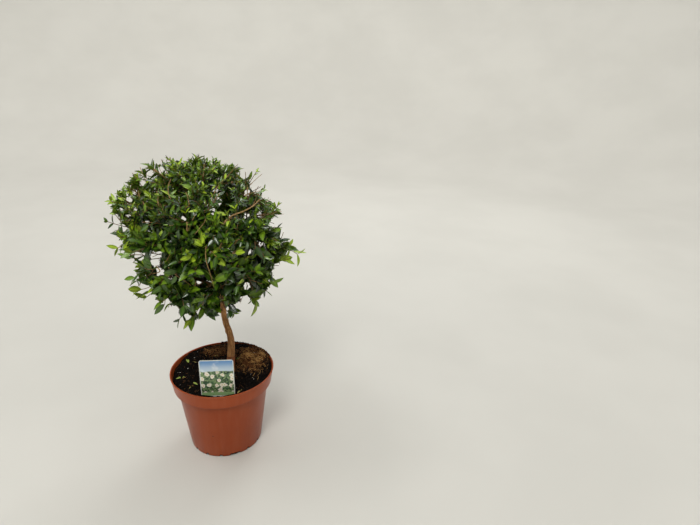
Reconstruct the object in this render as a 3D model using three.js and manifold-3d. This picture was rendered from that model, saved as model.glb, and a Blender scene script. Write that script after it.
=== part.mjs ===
// A clipped myrtle standard in a round plastic nursery pot, in millimetres, +Z up.
// The origin is the middle of the pot's flat underside. The picture label faces -Y.

import * as THREE from "three";
import { mergeVertices } from "three/addons/utils/BufferGeometryUtils.js";
import Module from "manifold-3d";

const wasm = await Module();
wasm.setup();

// Driving dimensions
const gap = 0.3; // between neighbouring solids that touch on the real plant
const pot = {
  height: 136,
  rimRadius: 85,
  baseRadius: 60,
  shoulderRadius: 74.6, // outside of the wall just under the rim band
  bandHeight: 25,
  bandFootRadius: 80.6,
  lipHeight: 2.4,
  wall: 1.6,
  floor: 2,
  lipStep: 0.6, // how far the rolled lip stands out from the band
  lipRound: 0.6,
  sides: 48,
};
const bandFoot = pot.height - pot.bandHeight;
const drain = {
  divisions: 16, // notches round the bottom corner
  firstAzimuth: -63.5,
  archEvery: 4, // every fourth notch is a wide arch
  archWidth: 19,
  notchWidth: 4.5,
  height: 4.6,
  depth: 6,
  holes: 6, // round holes through the floor
  holeRadius: 4.5,
  holeCircle: 34,
  holeSides: 10,
};
const soil = {
  frontLevel: 121,
  backLevel: 134.5,
  slopeFrom: -50, // where on Y it starts to rise, and where it stops
  slopeTo: 60,
  moundAzimuth: 38, // the pale fibrous root ball stands up here, to the rim
  moundDistance: 52,
  moundHeight: 5,
  moundSpread: 30,
  ripple: { height: 0.9, x: 0.16, y: 0.13, shift: 1 },
  belowRim: 0.4, // the least that its edge stays under the pot's rim
  rings: [73, 64, 50, 36, 22, 10, 0], // where its surface is shaped, from the pot's wall to the middle
  sides: 36,
};
const label = {
  width: 52.6,
  cardHeight: 66,
  thick: 0.8,
  cornerRadius: 4,
  stakeWidth: 16,
  stakeDepth: 26,
  point: 8, // height of the stake's pointed end
  clear: 0.8, // between the soil and the top of the stake
  cardFoot: 3.2, // rise from there to the card's lower corners
  x: 7.3,
  y: -60,
  turn: 6.5, // degrees about the upright
};
const trunk = {
  foot: 125.4, // height of its flat cut, seated in the soil
  // where the stem runs, from below that cut to its tip
  route: [
    [11.5, 2, 122],
    [14.2, 1, 147],
    [16.9, 0, 181],
    [15.6, 0, 202],
    [9.6, 1, 223],
    [6.4, 2, 258],
    [6, 1, 285],
    [7.6, -1, 312],
    [5.5, 0, 337],
  ],
  footRadius: 7,
  tipRadius: 2.5,
  taperPower: 1.1,
  flare: 2.2,
  flareReach: 0.06, // as a share of its length
  sides: 10,
  steps: 16,
};
const crown = {
  centre: [-17, 0, 367],
  radius: 125,
  // where the clipped outline swells or falls in: degrees, millimetres, degrees
  swells: [
    { azimuth: 0, elevation: 86, height: -7, spread: 28 },
    { azimuth: 171, elevation: 54, height: 11, spread: 16 },
    { azimuth: -171, elevation: 24, height: 11, spread: 18 },
    { azimuth: -152, elevation: -32, height: -40, spread: 21 },
    { azimuth: -5, elevation: -48, height: 8, spread: 20 },
    { azimuth: 62, elevation: 8, height: 6, spread: 30 },
    { azimuth: 118, elevation: -25, height: -7, spread: 26 },
  ],
  // shoots that outgrew the shears: degrees and reach from the middle of the ball
  longShoots: [
    { azimuth: 14, elevation: -9, reach: 148 },
    { azimuth: -148, elevation: -38, reach: 116 },
    { azimuth: 36, elevation: 44, reach: 134 },
    { azimuth: 110, elevation: 70, reach: 129 },
    { azimuth: -172, elevation: 20, reach: 140 },
    { azimuth: 95, elevation: -12, reach: 138 },
  ],
  tips: 215, // coarse twig tips spread evenly over the ball
  tipInset: 19, // a twig stops this far inside the outline, and its leaves reach the rest
  tipInsetSpread: 10,
  pastTwig: 0.9, // how much of its leaf stands past the twig of a long shoot
};
const limbBend = 0.45; // how far a limb keeps its first heading, as a share of its length
// The masses of foliage: where each sits in the ball, and the height on the trunk of the bough that feeds it
const masses = [
  { name: "top", azimuth: 0, elevation: 90, from: 1 },
  ...ring("upper", ["front", "right", "back_right", "back_left", "left"], -90, 22, [0.9, 0.84, 0.93, 0.8, 0.87]),
  ...ring("lower", ["front_right", "right_back", "back", "back_left", "front_left"], -54, -34,
    [0.62, 0.7, 0.56, 0.66, 0.74]),
];
const bough = {
  siteDistance: 72, // from the ball's middle to the middle of a mass
  reach: 0.85, // how far towards that point it heads, though it ends at its mass's core
  baseRadius: 2.7,
  tipRadius: 1.7,
  lift: 0.22, // how strongly it leaves along the trunk
  sides: 8,
  steps: 5,
};
const core = {
  most: 38, // how far the dense heart of a mass reaches from its middle
  clear: 2.5, // from the plane shared with the next mass
  under: 19, // below the clipped outline
  roundness: 7,
  rough: 0.12,
  waves: 5, // how closely its lumps follow each other
  facets: 1, // subdivisions of an icosahedron
};
const twig = {
  tipRadius: 0.95,
  tipTaper: 0.7,
  forkTaper: 0.85,
  thickening: 0.42, // power of the number of tips that a twig feeds
  mostRadius: 2.2,
  forkShare: 0.2, // how far a limb runs towards its targets before it forks
  forkSpread: 0.12,
  follow: 0.5, // how much a fork keeps its parent's direction
  wander: 4,
  sink: 0.3, // under a half, so that forks wander up more than down
  clear: 2, // from the planes between masses, or the twig is left out
  sides: 3,
  steps: 1,
};
const leaf = {
  length: 33,
  lengthSpread: 8,
  width: 0.48, // of its length
  thick: 1.1,
  widest: 0.45,
  fold: 0.16, // how far the edges stand above the midrib, of the width
  curl: 0.1,
  tipSplay: 34, // degrees from the twig, for the youngest pair
  splay: 66,
  splaySpread: 22,
  roll: 110, // spread of its turn about its own midrib
  twist: 70, // spread of a pair's turn round its twig, in degrees
  turns: [0, 28, -28, 56, -56], // degrees round the twig that are tried until a leaf has room
  pairs: 2,
  firstPair: 2, // behind the twig's tip
  pairStep: 9,
  lowest: 0.2, // share of the twig below which it bears none
};
// Which of chance's numbers each thing takes; a leaf adds its place among the pairs
const uses = { inset: 1, forkShare: 2, wander: [3, 4, 5], twist: 6, splay: 20, length: 60, roll: 80 };
const leastCellGap = 0.5; // between a leaf and the plane shared with the next mass
const rootsShare = 0.1; // cubic millimetres in common that two leaves may have at their roots
const weld = 1e-3; // corners nearer than this are one
const sliver = 0.03; // detail finer than this is evened out where leaves cross

const colours = {
  plastic: 0x9a4a30,
  peat: 0x2a1d15,
  card: 0xdfe6df,
  bark: 0x7a5236,
  foliage: 0x3c6a24,
};

// Small helpers
function degrees(value) {
  return THREE.MathUtils.degToRad(value);
}

function bearing(azimuth, elevation) {
  const a = degrees(azimuth);
  const e = degrees(elevation);
  return new THREE.Vector3(Math.cos(e) * Math.cos(a), Math.cos(e) * Math.sin(a), Math.sin(e));
}

// The same number from 0 to 1 each time for one place in the plant and one use
function chance(key, use) {
  const wave = Math.sin(key * 12.9898 + use * 78.233) * 43758.5453;
  return wave - Math.floor(wave);
}

function ring(level, sides, firstAzimuth, elevation, heights) {
  return sides.map((side, i) => ({
    name: level + "_" + side,
    azimuth: firstAzimuth + (i * 360) / sides.length,
    elevation,
    from: heights[i],
  }));
}

function solidOf(geometry) {
  const plain = geometry.clone();
  plain.deleteAttribute("normal");
  plain.deleteAttribute("uv");
  const merged = mergeVertices(plain, weld);
  return new wasm.Manifold(
    new wasm.Mesh({
      numProp: 3,
      vertProperties: merged.attributes.position.array,
      triVerts: new Uint32Array(merged.index.array),
    }),
  );
}

function geometryOf(solid) {
  const mesh = solid.getMesh();
  const geometry = new THREE.BufferGeometry();
  geometry.setAttribute("position", new THREE.BufferAttribute(mesh.vertProperties, 3));
  geometry.setIndex(new THREE.BufferAttribute(mesh.triVerts, 1));
  geometry.computeVertexNormals();
  return geometry;
}

function reshape(geometry, move) {
  const places = geometry.attributes.position;
  const point = new THREE.Vector3();
  for (let i = 0; i < places.count; i++) {
    point.fromBufferAttribute(places, i);
    const moved = move(point.clone());
    places.setXYZ(i, moved.x, moved.y, moved.z);
  }
  return geometry;
}

// The biggest closed body of a solid, with scraps and sealed hollows dropped
function mainBody(solid) {
  return solid.decompose().reduce((best, body) => (body.volume() > best.volume() ? body : best));
}

// A round limb along a curve: a closed cylinder whose rings are laid along the curve at radius(share)
function limb(curve, radius, sides, steps) {
  const frames = curve.computeFrenetFrames(steps, false);
  const centres = frames.tangents.map((_, i) => curve.getPointAt(i / steps));
  const seconds = frames.tangents.map((tangent, i) => frames.normals[i].clone().cross(tangent));
  return reshape(new THREE.CylinderGeometry(1, 1, 1, sides, steps), (point) => {
    const step = Math.round((point.y + 0.5) * steps);
    const size = radius(step / steps);
    return centres[step]
      .clone()
      .addScaledVector(frames.normals[step], point.x * size)
      .addScaledVector(seconds[step], point.z * size);
  });
}

// Pot
function wallRadius(z) {
  return pot.baseRadius + ((pot.shoulderRadius - pot.baseRadius) * z) / bandFoot;
}

function bandRadius(z) {
  const top = pot.rimRadius - pot.lipStep;
  return pot.bandFootRadius + ((top - pot.bandFootRadius) * (z - bandFoot)) / pot.bandHeight;
}

// The inside of the pot from its floor up to the middle, made this much narrower and shorter
function hollowProfile(less) {
  const wall = pot.wall + less;
  const ledge = bandFoot + pot.wall + less;
  return [
    [0, pot.floor + less],
    [wallRadius(pot.floor) - wall, pot.floor + less],
    [wallRadius(bandFoot) - wall, ledge],
    [bandRadius(ledge) - wall, ledge],
  ];
}

function revolve(profile, sides) {
  const outline = profile.map(([r, z]) => new THREE.Vector2(r, z));
  return new THREE.LatheGeometry(outline, sides).rotateX(Math.PI / 2);
}

function potSolid() {
  const lipFoot = pot.height - pot.lipHeight;
  const shell = solidOf(
    revolve(
      [
        [0, 0],
        [pot.baseRadius, 0],
        [pot.shoulderRadius, bandFoot],
        [pot.bandFootRadius, bandFoot],
        [bandRadius(lipFoot), lipFoot],
        [pot.rimRadius, lipFoot + pot.lipStep],
        [pot.rimRadius, pot.height - pot.lipRound],
        [pot.rimRadius - pot.lipRound, pot.height],
        [bandRadius(pot.height) - pot.wall, pot.height],
        ...hollowProfile(0).reverse(),
      ],
      pot.sides,
    ),
  );
  const cuts = [];
  for (let i = 0; i < drain.divisions; i++) {
    const width = i % drain.archEvery === 0 ? drain.archWidth : drain.notchWidth;
    const cut = new THREE.BoxGeometry(drain.depth * 2, width, drain.height * 2);
    cut.translate(pot.baseRadius, 0, 0);
    cut.rotateZ(degrees(drain.firstAzimuth + (i * 360) / drain.divisions));
    cuts.push(solidOf(cut));
  }
  for (let i = 0; i < drain.holes; i++) {
    const hole = new THREE.CylinderGeometry(drain.holeRadius, drain.holeRadius, pot.floor * 4, drain.holeSides);
    hole.rotateX(Math.PI / 2);
    hole.translate(drain.holeCircle, 0, 0);
    hole.rotateZ((i * 2 * Math.PI) / drain.holes);
    cuts.push(solidOf(hole));
  }
  return shell.subtract(wasm.Manifold.union(cuts));
}

// Soil: it fills the pot, rises from front to back, and stands up to the rim at the back right
function soilLevel(x, y) {
  const { height, x: acrossX, y: acrossY, shift } = soil.ripple;
  const slope = (soil.backLevel - soil.frontLevel) * THREE.MathUtils.smoothstep(y, soil.slopeFrom, soil.slopeTo);
  const middle = bearing(soil.moundAzimuth, 0).multiplyScalar(soil.moundDistance);
  const away = Math.hypot(x - middle.x, y - middle.y) / soil.moundSpread;
  const mound = soil.moundHeight * Math.exp(-away * away);
  const ripple = height * Math.sin(x * acrossX + shift) * Math.cos(y * acrossY);
  return soil.frontLevel + slope + mound + ripple;
}

function soilSolid() {
  const edge = [bandRadius(soil.frontLevel) - pot.wall - gap, pot.height];
  const surface = soil.rings.map((r) => [r, pot.height]);
  const filled = revolve([...hollowProfile(gap), edge, ...surface], soil.sides);
  reshape(filled, (point) => {
    if (point.z < pot.height - gap) return point;
    const most = Math.hypot(point.x, point.y) > soil.rings[0] ? pot.height - soil.belowRim : Infinity;
    point.z = Math.min(soilLevel(point.x, point.y), most);
    return point;
  });
  return mainBody(solidOf(filled).subtract(wasm.Manifold.union([labelSlot(), trunkSeat()])));
}

// The flat hollow that the trunk stands in
function trunkSeat() {
  const radius = trunk.footRadius + trunk.flare + 3 * gap;
  const [x, y] = trunk.route[0];
  const depth = soilLevel(x, y) - trunk.foot + soil.moundHeight;
  const seat = new THREE.CylinderGeometry(radius, radius, depth, trunk.sides).rotateX(Math.PI / 2);
  return solidOf(seat.translate(x, y, trunk.foot - gap + depth / 2));
}

// Label: a rounded card on a pointed stake that is pushed into the soil
function placeLabel(geometry) {
  geometry.rotateX(Math.PI / 2);
  geometry.rotateZ(degrees(label.turn));
  return geometry.translate(label.x, label.y, soilLevel(label.x, label.y) + label.clear);
}

function labelSlot() {
  const height = label.stakeDepth + 2 * gap + pot.bandHeight;
  const slot = new THREE.BoxGeometry(label.stakeWidth + 2 * gap, height, label.thick + 2 * gap);
  return solidOf(placeLabel(slot.translate(0, height / 2 - label.stakeDepth - gap, 0)));
}

function labelSolid() {
  const { width, cardHeight, cornerRadius, stakeWidth, stakeDepth, point, cardFoot, thick } = label;
  const outline = new THREE.Shape();
  outline.moveTo(0, -stakeDepth);
  outline.lineTo(stakeWidth / 2, point - stakeDepth);
  outline.lineTo(stakeWidth / 2, 0);
  outline.lineTo(width / 2, cardFoot);
  outline.lineTo(width / 2, cardHeight - cornerRadius);
  outline.absarc(width / 2 - cornerRadius, cardHeight - cornerRadius, cornerRadius, 0, Math.PI / 2, false);
  outline.absarc(cornerRadius - width / 2, cardHeight - cornerRadius, cornerRadius, Math.PI / 2, Math.PI, false);
  outline.lineTo(-width / 2, cardFoot);
  outline.lineTo(-stakeWidth / 2, 0);
  outline.lineTo(-stakeWidth / 2, point - stakeDepth);
  const card = new THREE.ExtrudeGeometry(outline, { depth: thick, bevelEnabled: false, curveSegments: 4 });
  return solidOf(placeLabel(card.translate(0, 0, -thick / 2)));
}

// Trunk
const trunkLine = new THREE.CatmullRomCurve3(trunk.route.map((p) => new THREE.Vector3(...p)));

function trunkRadius(share) {
  const taper = (trunk.footRadius - trunk.tipRadius) * Math.pow(1 - share, trunk.taperPower);
  return trunk.tipRadius + taper + trunk.flare * Math.exp(-share / trunk.flareReach);
}

// The trunk, with its foot cut flat and level. grow fattens it for cutting its neighbours.
function trunkSolid(grow) {
  const stem = solidOf(limb(trunkLine, (share) => trunkRadius(share) + grow, trunk.sides, trunk.steps));
  const [x, y] = trunk.route[0];
  const size = 4 * trunk.footRadius;
  const ground = new THREE.BoxGeometry(size, size, size).translate(x, y, trunk.foot - size / 2);
  return stem.subtract(solidOf(ground));
}

// Crown
const middle = new THREE.Vector3(...crown.centre);

// How far the clipped outline stands from the middle of the ball in one direction
function outline(direction) {
  return crown.swells.reduce((reach, swell) => {
    const angle = direction.angleTo(bearing(swell.azimuth, swell.elevation)) / degrees(swell.spread);
    return reach + swell.height * Math.exp(-angle * angle);
  }, crown.radius);
}

const sites = masses.map((mass) => {
  const direction = bearing(mass.azimuth, mass.elevation);
  return middle.clone().addScaledVector(direction, bough.siteDistance);
});

function nearestSite(point) {
  const distances = sites.map((site) => site.distanceTo(point));
  return distances.indexOf(Math.min(...distances));
}

// True if a point is inside the cell of one mass, clear of the planes shared with the others
function inCell(point, owner, clear) {
  return sites.every((site, i) => {
    if (i === owner) return true;
    const across = site.clone().sub(sites[owner]);
    const half = across.length() / 2;
    return point.clone().sub(sites[owner]).dot(across.normalize()) < half - clear;
  });
}

// Evenly spread tips on the outline, each a little inside it, and the long shoots
function tipPlaces() {
  const golden = Math.PI * (3 - Math.sqrt(5));
  const places = [];
  for (let i = 0; i < crown.tips; i++) {
    const z = 1 - (2 * i + 1) / crown.tips;
    const level = Math.sqrt(1 - z * z);
    const direction = new THREE.Vector3(Math.cos(i * golden) * level, Math.sin(i * golden) * level, z);
    const inset = crown.tipInset + crown.tipInsetSpread * chance(i, uses.inset);
    places.push(middle.clone().addScaledVector(direction, outline(direction) - inset));
  }
  for (const shoot of crown.longShoots) {
    const direction = bearing(shoot.azimuth, shoot.elevation);
    places.push(middle.clone().addScaledVector(direction, shoot.reach - leaf.length * crown.pastTwig));
  }
  return places;
}

function arc(start, heading, end) {
  const reach = start.distanceTo(end) * limbBend;
  return new THREE.QuadraticBezierCurve3(start, start.clone().addScaledVector(heading, reach), end);
}

// One bough: from the middle of the trunk, where the trunk's own surface cuts it, to the edge of its mass
function boughLine(index) {
  const share = masses[index].from;
  const up = trunkLine.getTangentAt(share);
  const start = trunkLine.getPointAt(share).addScaledVector(up, share === 1 ? gap : 0);
  const end = start.clone().lerp(sites[index], bough.reach);
  const heading = end.clone().sub(start).normalize().addScaledVector(up, bough.lift).normalize();
  return arc(start, heading, end);
}

function boughRadius(share) {
  return bough.baseRadius + (bough.tipRadius - bough.baseRadius) * share;
}

const boughLines = masses.map((_, i) => boughLine(i));

// A bough from the trunk's surface to its mass's core. grow fattens it for keeping its neighbours clear.
function boughSolid(index, grow) {
  const radius = (share) => boughRadius(share) + grow;
  const whole = solidOf(limb(boughLines[index], radius, bough.sides, bough.steps));
  const ends = wasm.Manifold.union([trunkSolid(gap - grow), coreSolid(index, 2 * gap - grow)]);
  return mainBody(whole.subtract(ends));
}

// Forks a limb until each of its targets has a twig: the group parts round its two farthest targets
function fork(start, heading, targets, key, found) {
  const mean = targets.reduce((sum, t) => sum.add(t), new THREE.Vector3()).divideScalar(targets.length);
  const radius = Math.min(twig.tipRadius * Math.pow(targets.length, twig.thickening), twig.mostRadius);
  if (targets.length === 1) {
    const endRadius = twig.tipRadius * twig.tipTaper;
    found.push({ line: arc(start, heading, targets[0]), radius, endRadius, tip: true, key });
    return;
  }
  const end = start.clone().lerp(mean, twig.forkShare + twig.forkSpread * (chance(key, uses.forkShare) - 0.5));
  const [x, y, z] = uses.wander.map((use) => chance(key, use));
  end.add(new THREE.Vector3(x - 0.5, y - 0.5, z - twig.sink).multiplyScalar(twig.wander));
  const line = arc(start, heading, end);
  found.push({ line, radius, endRadius: radius * twig.forkTaper, tip: false, key });
  const farthest = (from) => targets.reduce((best, t) => (t.distanceTo(from) > best.distanceTo(from) ? t : best));
  const first = farthest(mean);
  const second = farthest(first);
  const nearFirst = targets.filter((t) => t.distanceTo(first) <= t.distanceTo(second));
  const nearSecond = targets.filter((t) => t.distanceTo(first) > t.distanceTo(second));
  [nearFirst, nearSecond].forEach((group, i) => {
    const aim = group.reduce((sum, t) => sum.add(t), new THREE.Vector3()).divideScalar(group.length).sub(end);
    const turned = aim.normalize().multiplyScalar(1 - twig.follow).addScaledVector(line.getTangentAt(1), twig.follow);
    fork(end, turned.normalize(), group, key * 2 + 1 + i, found);
  });
}

// A leaf: eight faces, folded up a little along its midrib and curled down at the tip
function leafCorners(root, along, up, length) {
  const across = along.clone().cross(up);
  return (point) => {
    const run = point.y > 0.5 ? 1 : point.y < -0.5 ? 0 : leaf.widest;
    const half = (leaf.width * length) / 2;
    const lift = (point.z * leaf.thick) / 2 + Math.abs(point.x) * half * leaf.fold - (run === 1 ? leaf.curl * length : 0);
    return root
      .clone()
      .addScaledVector(along, run * length)
      .addScaledVector(across, point.x * half)
      .addScaledVector(up, lift);
  };
}

// A solid, the twig it belongs to, and the ball round its two ends that shows what can't touch it
function pieceOf(solid, shoot, start, end) {
  const reach = start.distanceTo(end) / 2 + leaf.width * leaf.length;
  return { solid, shoot, middle: start.clone().lerp(end, 0.5), reach };
}

// True if a piece cuts into any of the others, apart from a little at the roots of one twig's leaves
function crosses(piece, others) {
  return others.some((other) => {
    if (other.middle.distanceTo(piece.middle) > other.reach + piece.reach) return false;
    return piece.solid.intersect(other.solid).volume() > (other.shoot === piece.shoot ? rootsShare : 0);
  });
}

// One leaf, if it keeps to its mass's cell and clear of the limbs and of the other twigs and leaves
function leafPiece(shoot, root, along, up, length, owner, others) {
  const corner = leafCorners(root, along, up, length);
  const marks = [[0, 1, 0], [1, 0, 0], [-1, 0, 0]].map((p) => corner(new THREE.Vector3(...p)));
  if (!marks.every((mark) => inCell(mark, owner, leastCellGap))) return null;
  const solid = solidOf(reshape(new THREE.OctahedronGeometry(1, 0), corner));
  const piece = pieceOf(solid, shoot, root, marks[0]);
  return crosses(piece, [...limbs, ...others]) ? null : piece;
}

// Opposite pairs of leaves up the end of a twig, each pair across the last. A leaf with no room is
// turned round the twig, and left out if that doesn't help.
function addLeaves(shoot, owner, pieces) {
  const size = shoot.line.getLength();
  const others = pieces.filter((piece) => piece !== shoot.piece);
  for (let pair = 0; pair < leaf.pairs; pair++) {
    const share = 1 - (leaf.firstPair + pair * leaf.pairStep) / size;
    if (share < leaf.lowest) break;
    const at = shoot.line.getPointAt(share);
    const tangent = shoot.line.getTangentAt(share);
    const level = new THREE.Vector3(0, 0, 1).cross(tangent).normalize();
    const first = 90 * pair + leaf.twist * chance(shoot.key, uses.twist + pair);
    for (const hand of [0, 1]) {
      const [wide, long, rolled] = [uses.splay, uses.length, uses.roll].map(
        (use) => chance(shoot.key, use + pair * 2 + hand) - 0.5,
      );
      const splay = degrees((pair ? leaf.splay : leaf.tipSplay) + leaf.splaySpread * wide);
      const length = leaf.length + leaf.lengthSpread * long;
      for (const turn of leaf.turns) {
        const side = level.clone().applyAxisAngle(tangent, degrees(first + 180 * hand + turn));
        const along = tangent.clone().multiplyScalar(Math.cos(splay)).addScaledVector(side, Math.sin(splay));
        const up = tangent.clone().addScaledVector(along, -tangent.dot(along)).normalize();
        up.applyAxisAngle(along, degrees(leaf.roll * rolled));
        const piece = leafPiece(shoot, at, along, up, length, owner, others);
        if (piece) {
          pieces.push(piece);
          others.push(piece);
          break;
        }
      }
    }
  }
}

// The dense heart of a mass: a rough rounded lump that nearly fills its cell, under the outline
function coreSolid(index, grow) {
  const site = sites[index];
  const neighbours = sites.filter((other) => other !== site).map((other) => other.clone().sub(site));
  return solidOf(
    reshape(new THREE.IcosahedronGeometry(1, core.facets), (toward) => {
      const limits = neighbours
        .map((across) => (across.length() / 2 - core.clear) / across.clone().normalize().dot(toward))
        .filter((limit) => limit > 0);
      const squeeze = [...limits, core.most].reduce((sum, limit) => sum + Math.pow(limit, -core.roundness), 0);
      const { x, y, z } = toward;
      const waves = Math.sin(core.waves * x + index) * Math.sin(core.waves * y + 2 * index + z);
      const reach = Math.pow(squeeze, -1 / core.roundness) * (1 + core.rough * (waves - 0.5));
      const fromMiddle = site.clone().addScaledVector(toward, reach + grow).sub(middle);
      const most = outline(fromMiddle) - core.under + grow;
      return fromMiddle.clampLength(0, most).add(middle);
    }),
  );
}

// One mass: twigs fork from the end of its bough inside its core, and leaves are fused to them
function massSolid(index, targets) {
  const feeder = boughLines[index];
  const shoots = [];
  fork(feeder.getPointAt(1), feeder.getTangentAt(1), targets, index + 1, shoots);
  for (const shoot of shoots) {
    const radius = (share) => THREE.MathUtils.lerp(shoot.radius, shoot.endRadius, share);
    const solid = solidOf(limb(shoot.line, radius, twig.sides, twig.steps));
    shoot.piece = pieceOf(solid, shoot, shoot.line.getPointAt(0), shoot.line.getPointAt(1));
  }
  const clear = shoots.filter((shoot) => !crosses(shoot.piece, limbs));
  const pieces = clear.map((shoot) => shoot.piece);
  for (const shoot of clear) if (shoot.tip) addLeaves(shoot, index, pieces);
  const heart = limbs.reduce((solid, limb) => solid.subtract(limb.solid), coreSolid(index, 0));
  const fused = wasm.Manifold.union([heart, ...pieces.map((piece) => piece.solid)]);
  return mainBody(solidOf(geometryOf(fused)).simplify(sliver));
}

// The limbs, fattened by a gap, that no twig or leaf may touch
const limbs = [
  pieceOf(trunkSolid(gap), trunkLine, trunkLine.getPointAt(0), trunkLine.getPointAt(1)),
  ...boughLines.map((line, i) => pieceOf(boughSolid(i, gap), line, line.getPointAt(0), line.getPointAt(1))),
];

// Assembly
const plant = new THREE.Group();

function add(name, solid, colour, roughness) {
  const material = new THREE.MeshStandardMaterial({ color: colour, roughness, metalness: 0 });
  const mesh = new THREE.Mesh(geometryOf(solid), material);
  mesh.name = name;
  plant.add(mesh);
}

add("pot", potSolid(), colours.plastic, 0.5);
add("soil", soilSolid(), colours.peat, 1);
add("label", labelSolid(), colours.card, 0.4);
add("trunk", trunkSolid(0), colours.bark, 0.85);

masses.forEach((mass, i) => add("bough_" + mass.name, boughSolid(i, 0), colours.bark, 0.85));

const targetsOf = masses.map(() => []);
for (const place of tipPlaces()) {
  const owner = nearestSite(place);
  if (inCell(place, owner, twig.clear)) targetsOf[owner].push(place);
}
masses.forEach((mass, i) => add("foliage_" + mass.name, massSolid(i, targetsOf[i]), colours.foliage, 0.5));

export default plant;
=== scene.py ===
# A clipped myrtle standard in its nursery pot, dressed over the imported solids.
# Shapes are worked out in millimetres, +Z up, with the picture label facing -Y, and made into meshes in metres.
import math

import bpy
import numpy as np
from mathutils import Matrix


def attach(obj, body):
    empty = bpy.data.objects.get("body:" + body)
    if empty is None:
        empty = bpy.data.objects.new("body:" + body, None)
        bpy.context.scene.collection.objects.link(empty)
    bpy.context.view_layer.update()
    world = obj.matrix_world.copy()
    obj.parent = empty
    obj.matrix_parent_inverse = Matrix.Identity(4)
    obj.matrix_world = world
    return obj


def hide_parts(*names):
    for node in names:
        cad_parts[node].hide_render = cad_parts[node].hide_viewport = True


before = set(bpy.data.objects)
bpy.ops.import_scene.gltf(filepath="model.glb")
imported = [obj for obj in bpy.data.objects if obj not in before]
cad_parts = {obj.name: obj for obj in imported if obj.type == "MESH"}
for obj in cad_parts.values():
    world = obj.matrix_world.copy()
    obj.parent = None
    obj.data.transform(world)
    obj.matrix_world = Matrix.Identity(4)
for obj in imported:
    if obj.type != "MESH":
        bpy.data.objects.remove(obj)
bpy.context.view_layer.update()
print("stage: frame loaded,", len(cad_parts), "nodes")


# Helpers for shapes

upward = np.array([0, 0, 1.0])


def unit(vectors):
    return vectors / np.maximum(np.linalg.norm(vectors, axis=-1, keepdims=True), 1e-9)


def together(*parts):  # arrays side by side in a new last axis, such as x, y and z made into points
    return np.stack(parts, axis=-1)


def dot(first, second):  # kept as a column, to scale vectors by
    return np.sum(first * second, axis=-1, keepdims=True)


def blend(low, high, share):
    return low + (high - low) * share


def smooth(value, low, high):  # 0 below low, 1 above high, and 3t²-2t³ between
    t = np.clip((value - low) / (high - low), 0, 1)
    return t * t * (3 - 2 * t)


def bearing(azimuth, elevation):  # degrees to a unit vector
    a, e = np.radians(azimuth), np.radians(elevation)
    return together(np.cos(e) * np.cos(a), np.cos(e) * np.sin(a), np.sin(e))


def chance(key, use):  # the same number from 0 to 1 each time for one place in the plant and one use
    wave = np.sin(np.asarray(key, float) * 12.9898 + use * 78.233) * 43758.5453
    return wave - np.floor(wave)


def within(span, key, use):  # such a number between the two of a span
    return blend(*span, chance(key, use))


def swing(spread, key, use):  # such a number from minus to plus half the spread
    return spread * (chance(key, use) - 0.5)


def turned(vectors, axis, angle):  # vectors turned round unit axes by angles in radians
    angle = np.asarray(angle)[..., None]
    level = np.cross(axis, vectors)
    return vectors * np.cos(angle) + level * np.sin(angle) + axis * dot(axis, vectors) * (1 - np.cos(angle))


def grain(points, size, seed):
    # Smooth noise from -1 to 1: random values at the corners of cubes of this size, blended between them
    place = np.asarray(points) / size
    cell = np.floor(place).astype(np.int64)
    t = place - cell
    t = t * t * (3 - 2 * t)
    total = 0
    for corner in np.ndindex(2, 2, 2):
        c = cell + np.array(corner)
        code = (c[..., 0] * 73856093) ^ (c[..., 1] * 19349663) ^ (c[..., 2] * 83492791) ^ (seed * 40503)
        code = ((code ^ (code >> 13)) * 1274126177) & 0xFFFFFFFF
        value = ((code ^ (code >> 16)) & 0xFFFF) / 32767.5 - 1
        total = total + value * np.prod(np.where(np.array(corner), t, 1 - t), axis=-1)
    return total


def gridFaces(rows, columns, closed=True):
    # Quads between the rows of a grid of points; a closed grid joins its last column to its first
    across = np.arange(columns if closed else columns - 1)
    up = np.arange(rows - 1)[:, None] * columns
    after = (across + 1) % columns
    return together(up + across, up + after, up + columns + after, up + columns + across).reshape(-1, 4)


def poleFaces(pole, ring):  # triangles from one point to a closed ring
    return together(np.full(len(ring), pole), np.roll(ring, -1), ring)


def turnedRings(radius, height, around):  # rings about the Z axis: (radius·cos, radius·sin, height)
    turn = np.linspace(0, 2 * np.pi, around, endpoint=False)
    flat = [radius[:, None] * np.cos(turn), radius[:, None] * np.sin(turn)]
    return together(*flat, np.repeat(height[:, None], around, 1))


def closedFaces(rings, around):
    # Quads between rings of points, and triangles to a pole at each end; the two poles come after the rings
    body = rings * around
    ends = [poleFaces(body, np.arange(around)), poleFaces(body + 1, np.arange(body - around, body))[:, ::-1]]
    return [gridFaces(rings, around), np.concatenate(ends)]


def repeated(faces, count, stride):  # the faces of one shape, for each of many copies of it
    return (faces[None] + stride * np.arange(count)[:, None, None]).reshape(-1, faces.shape[1])


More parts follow.
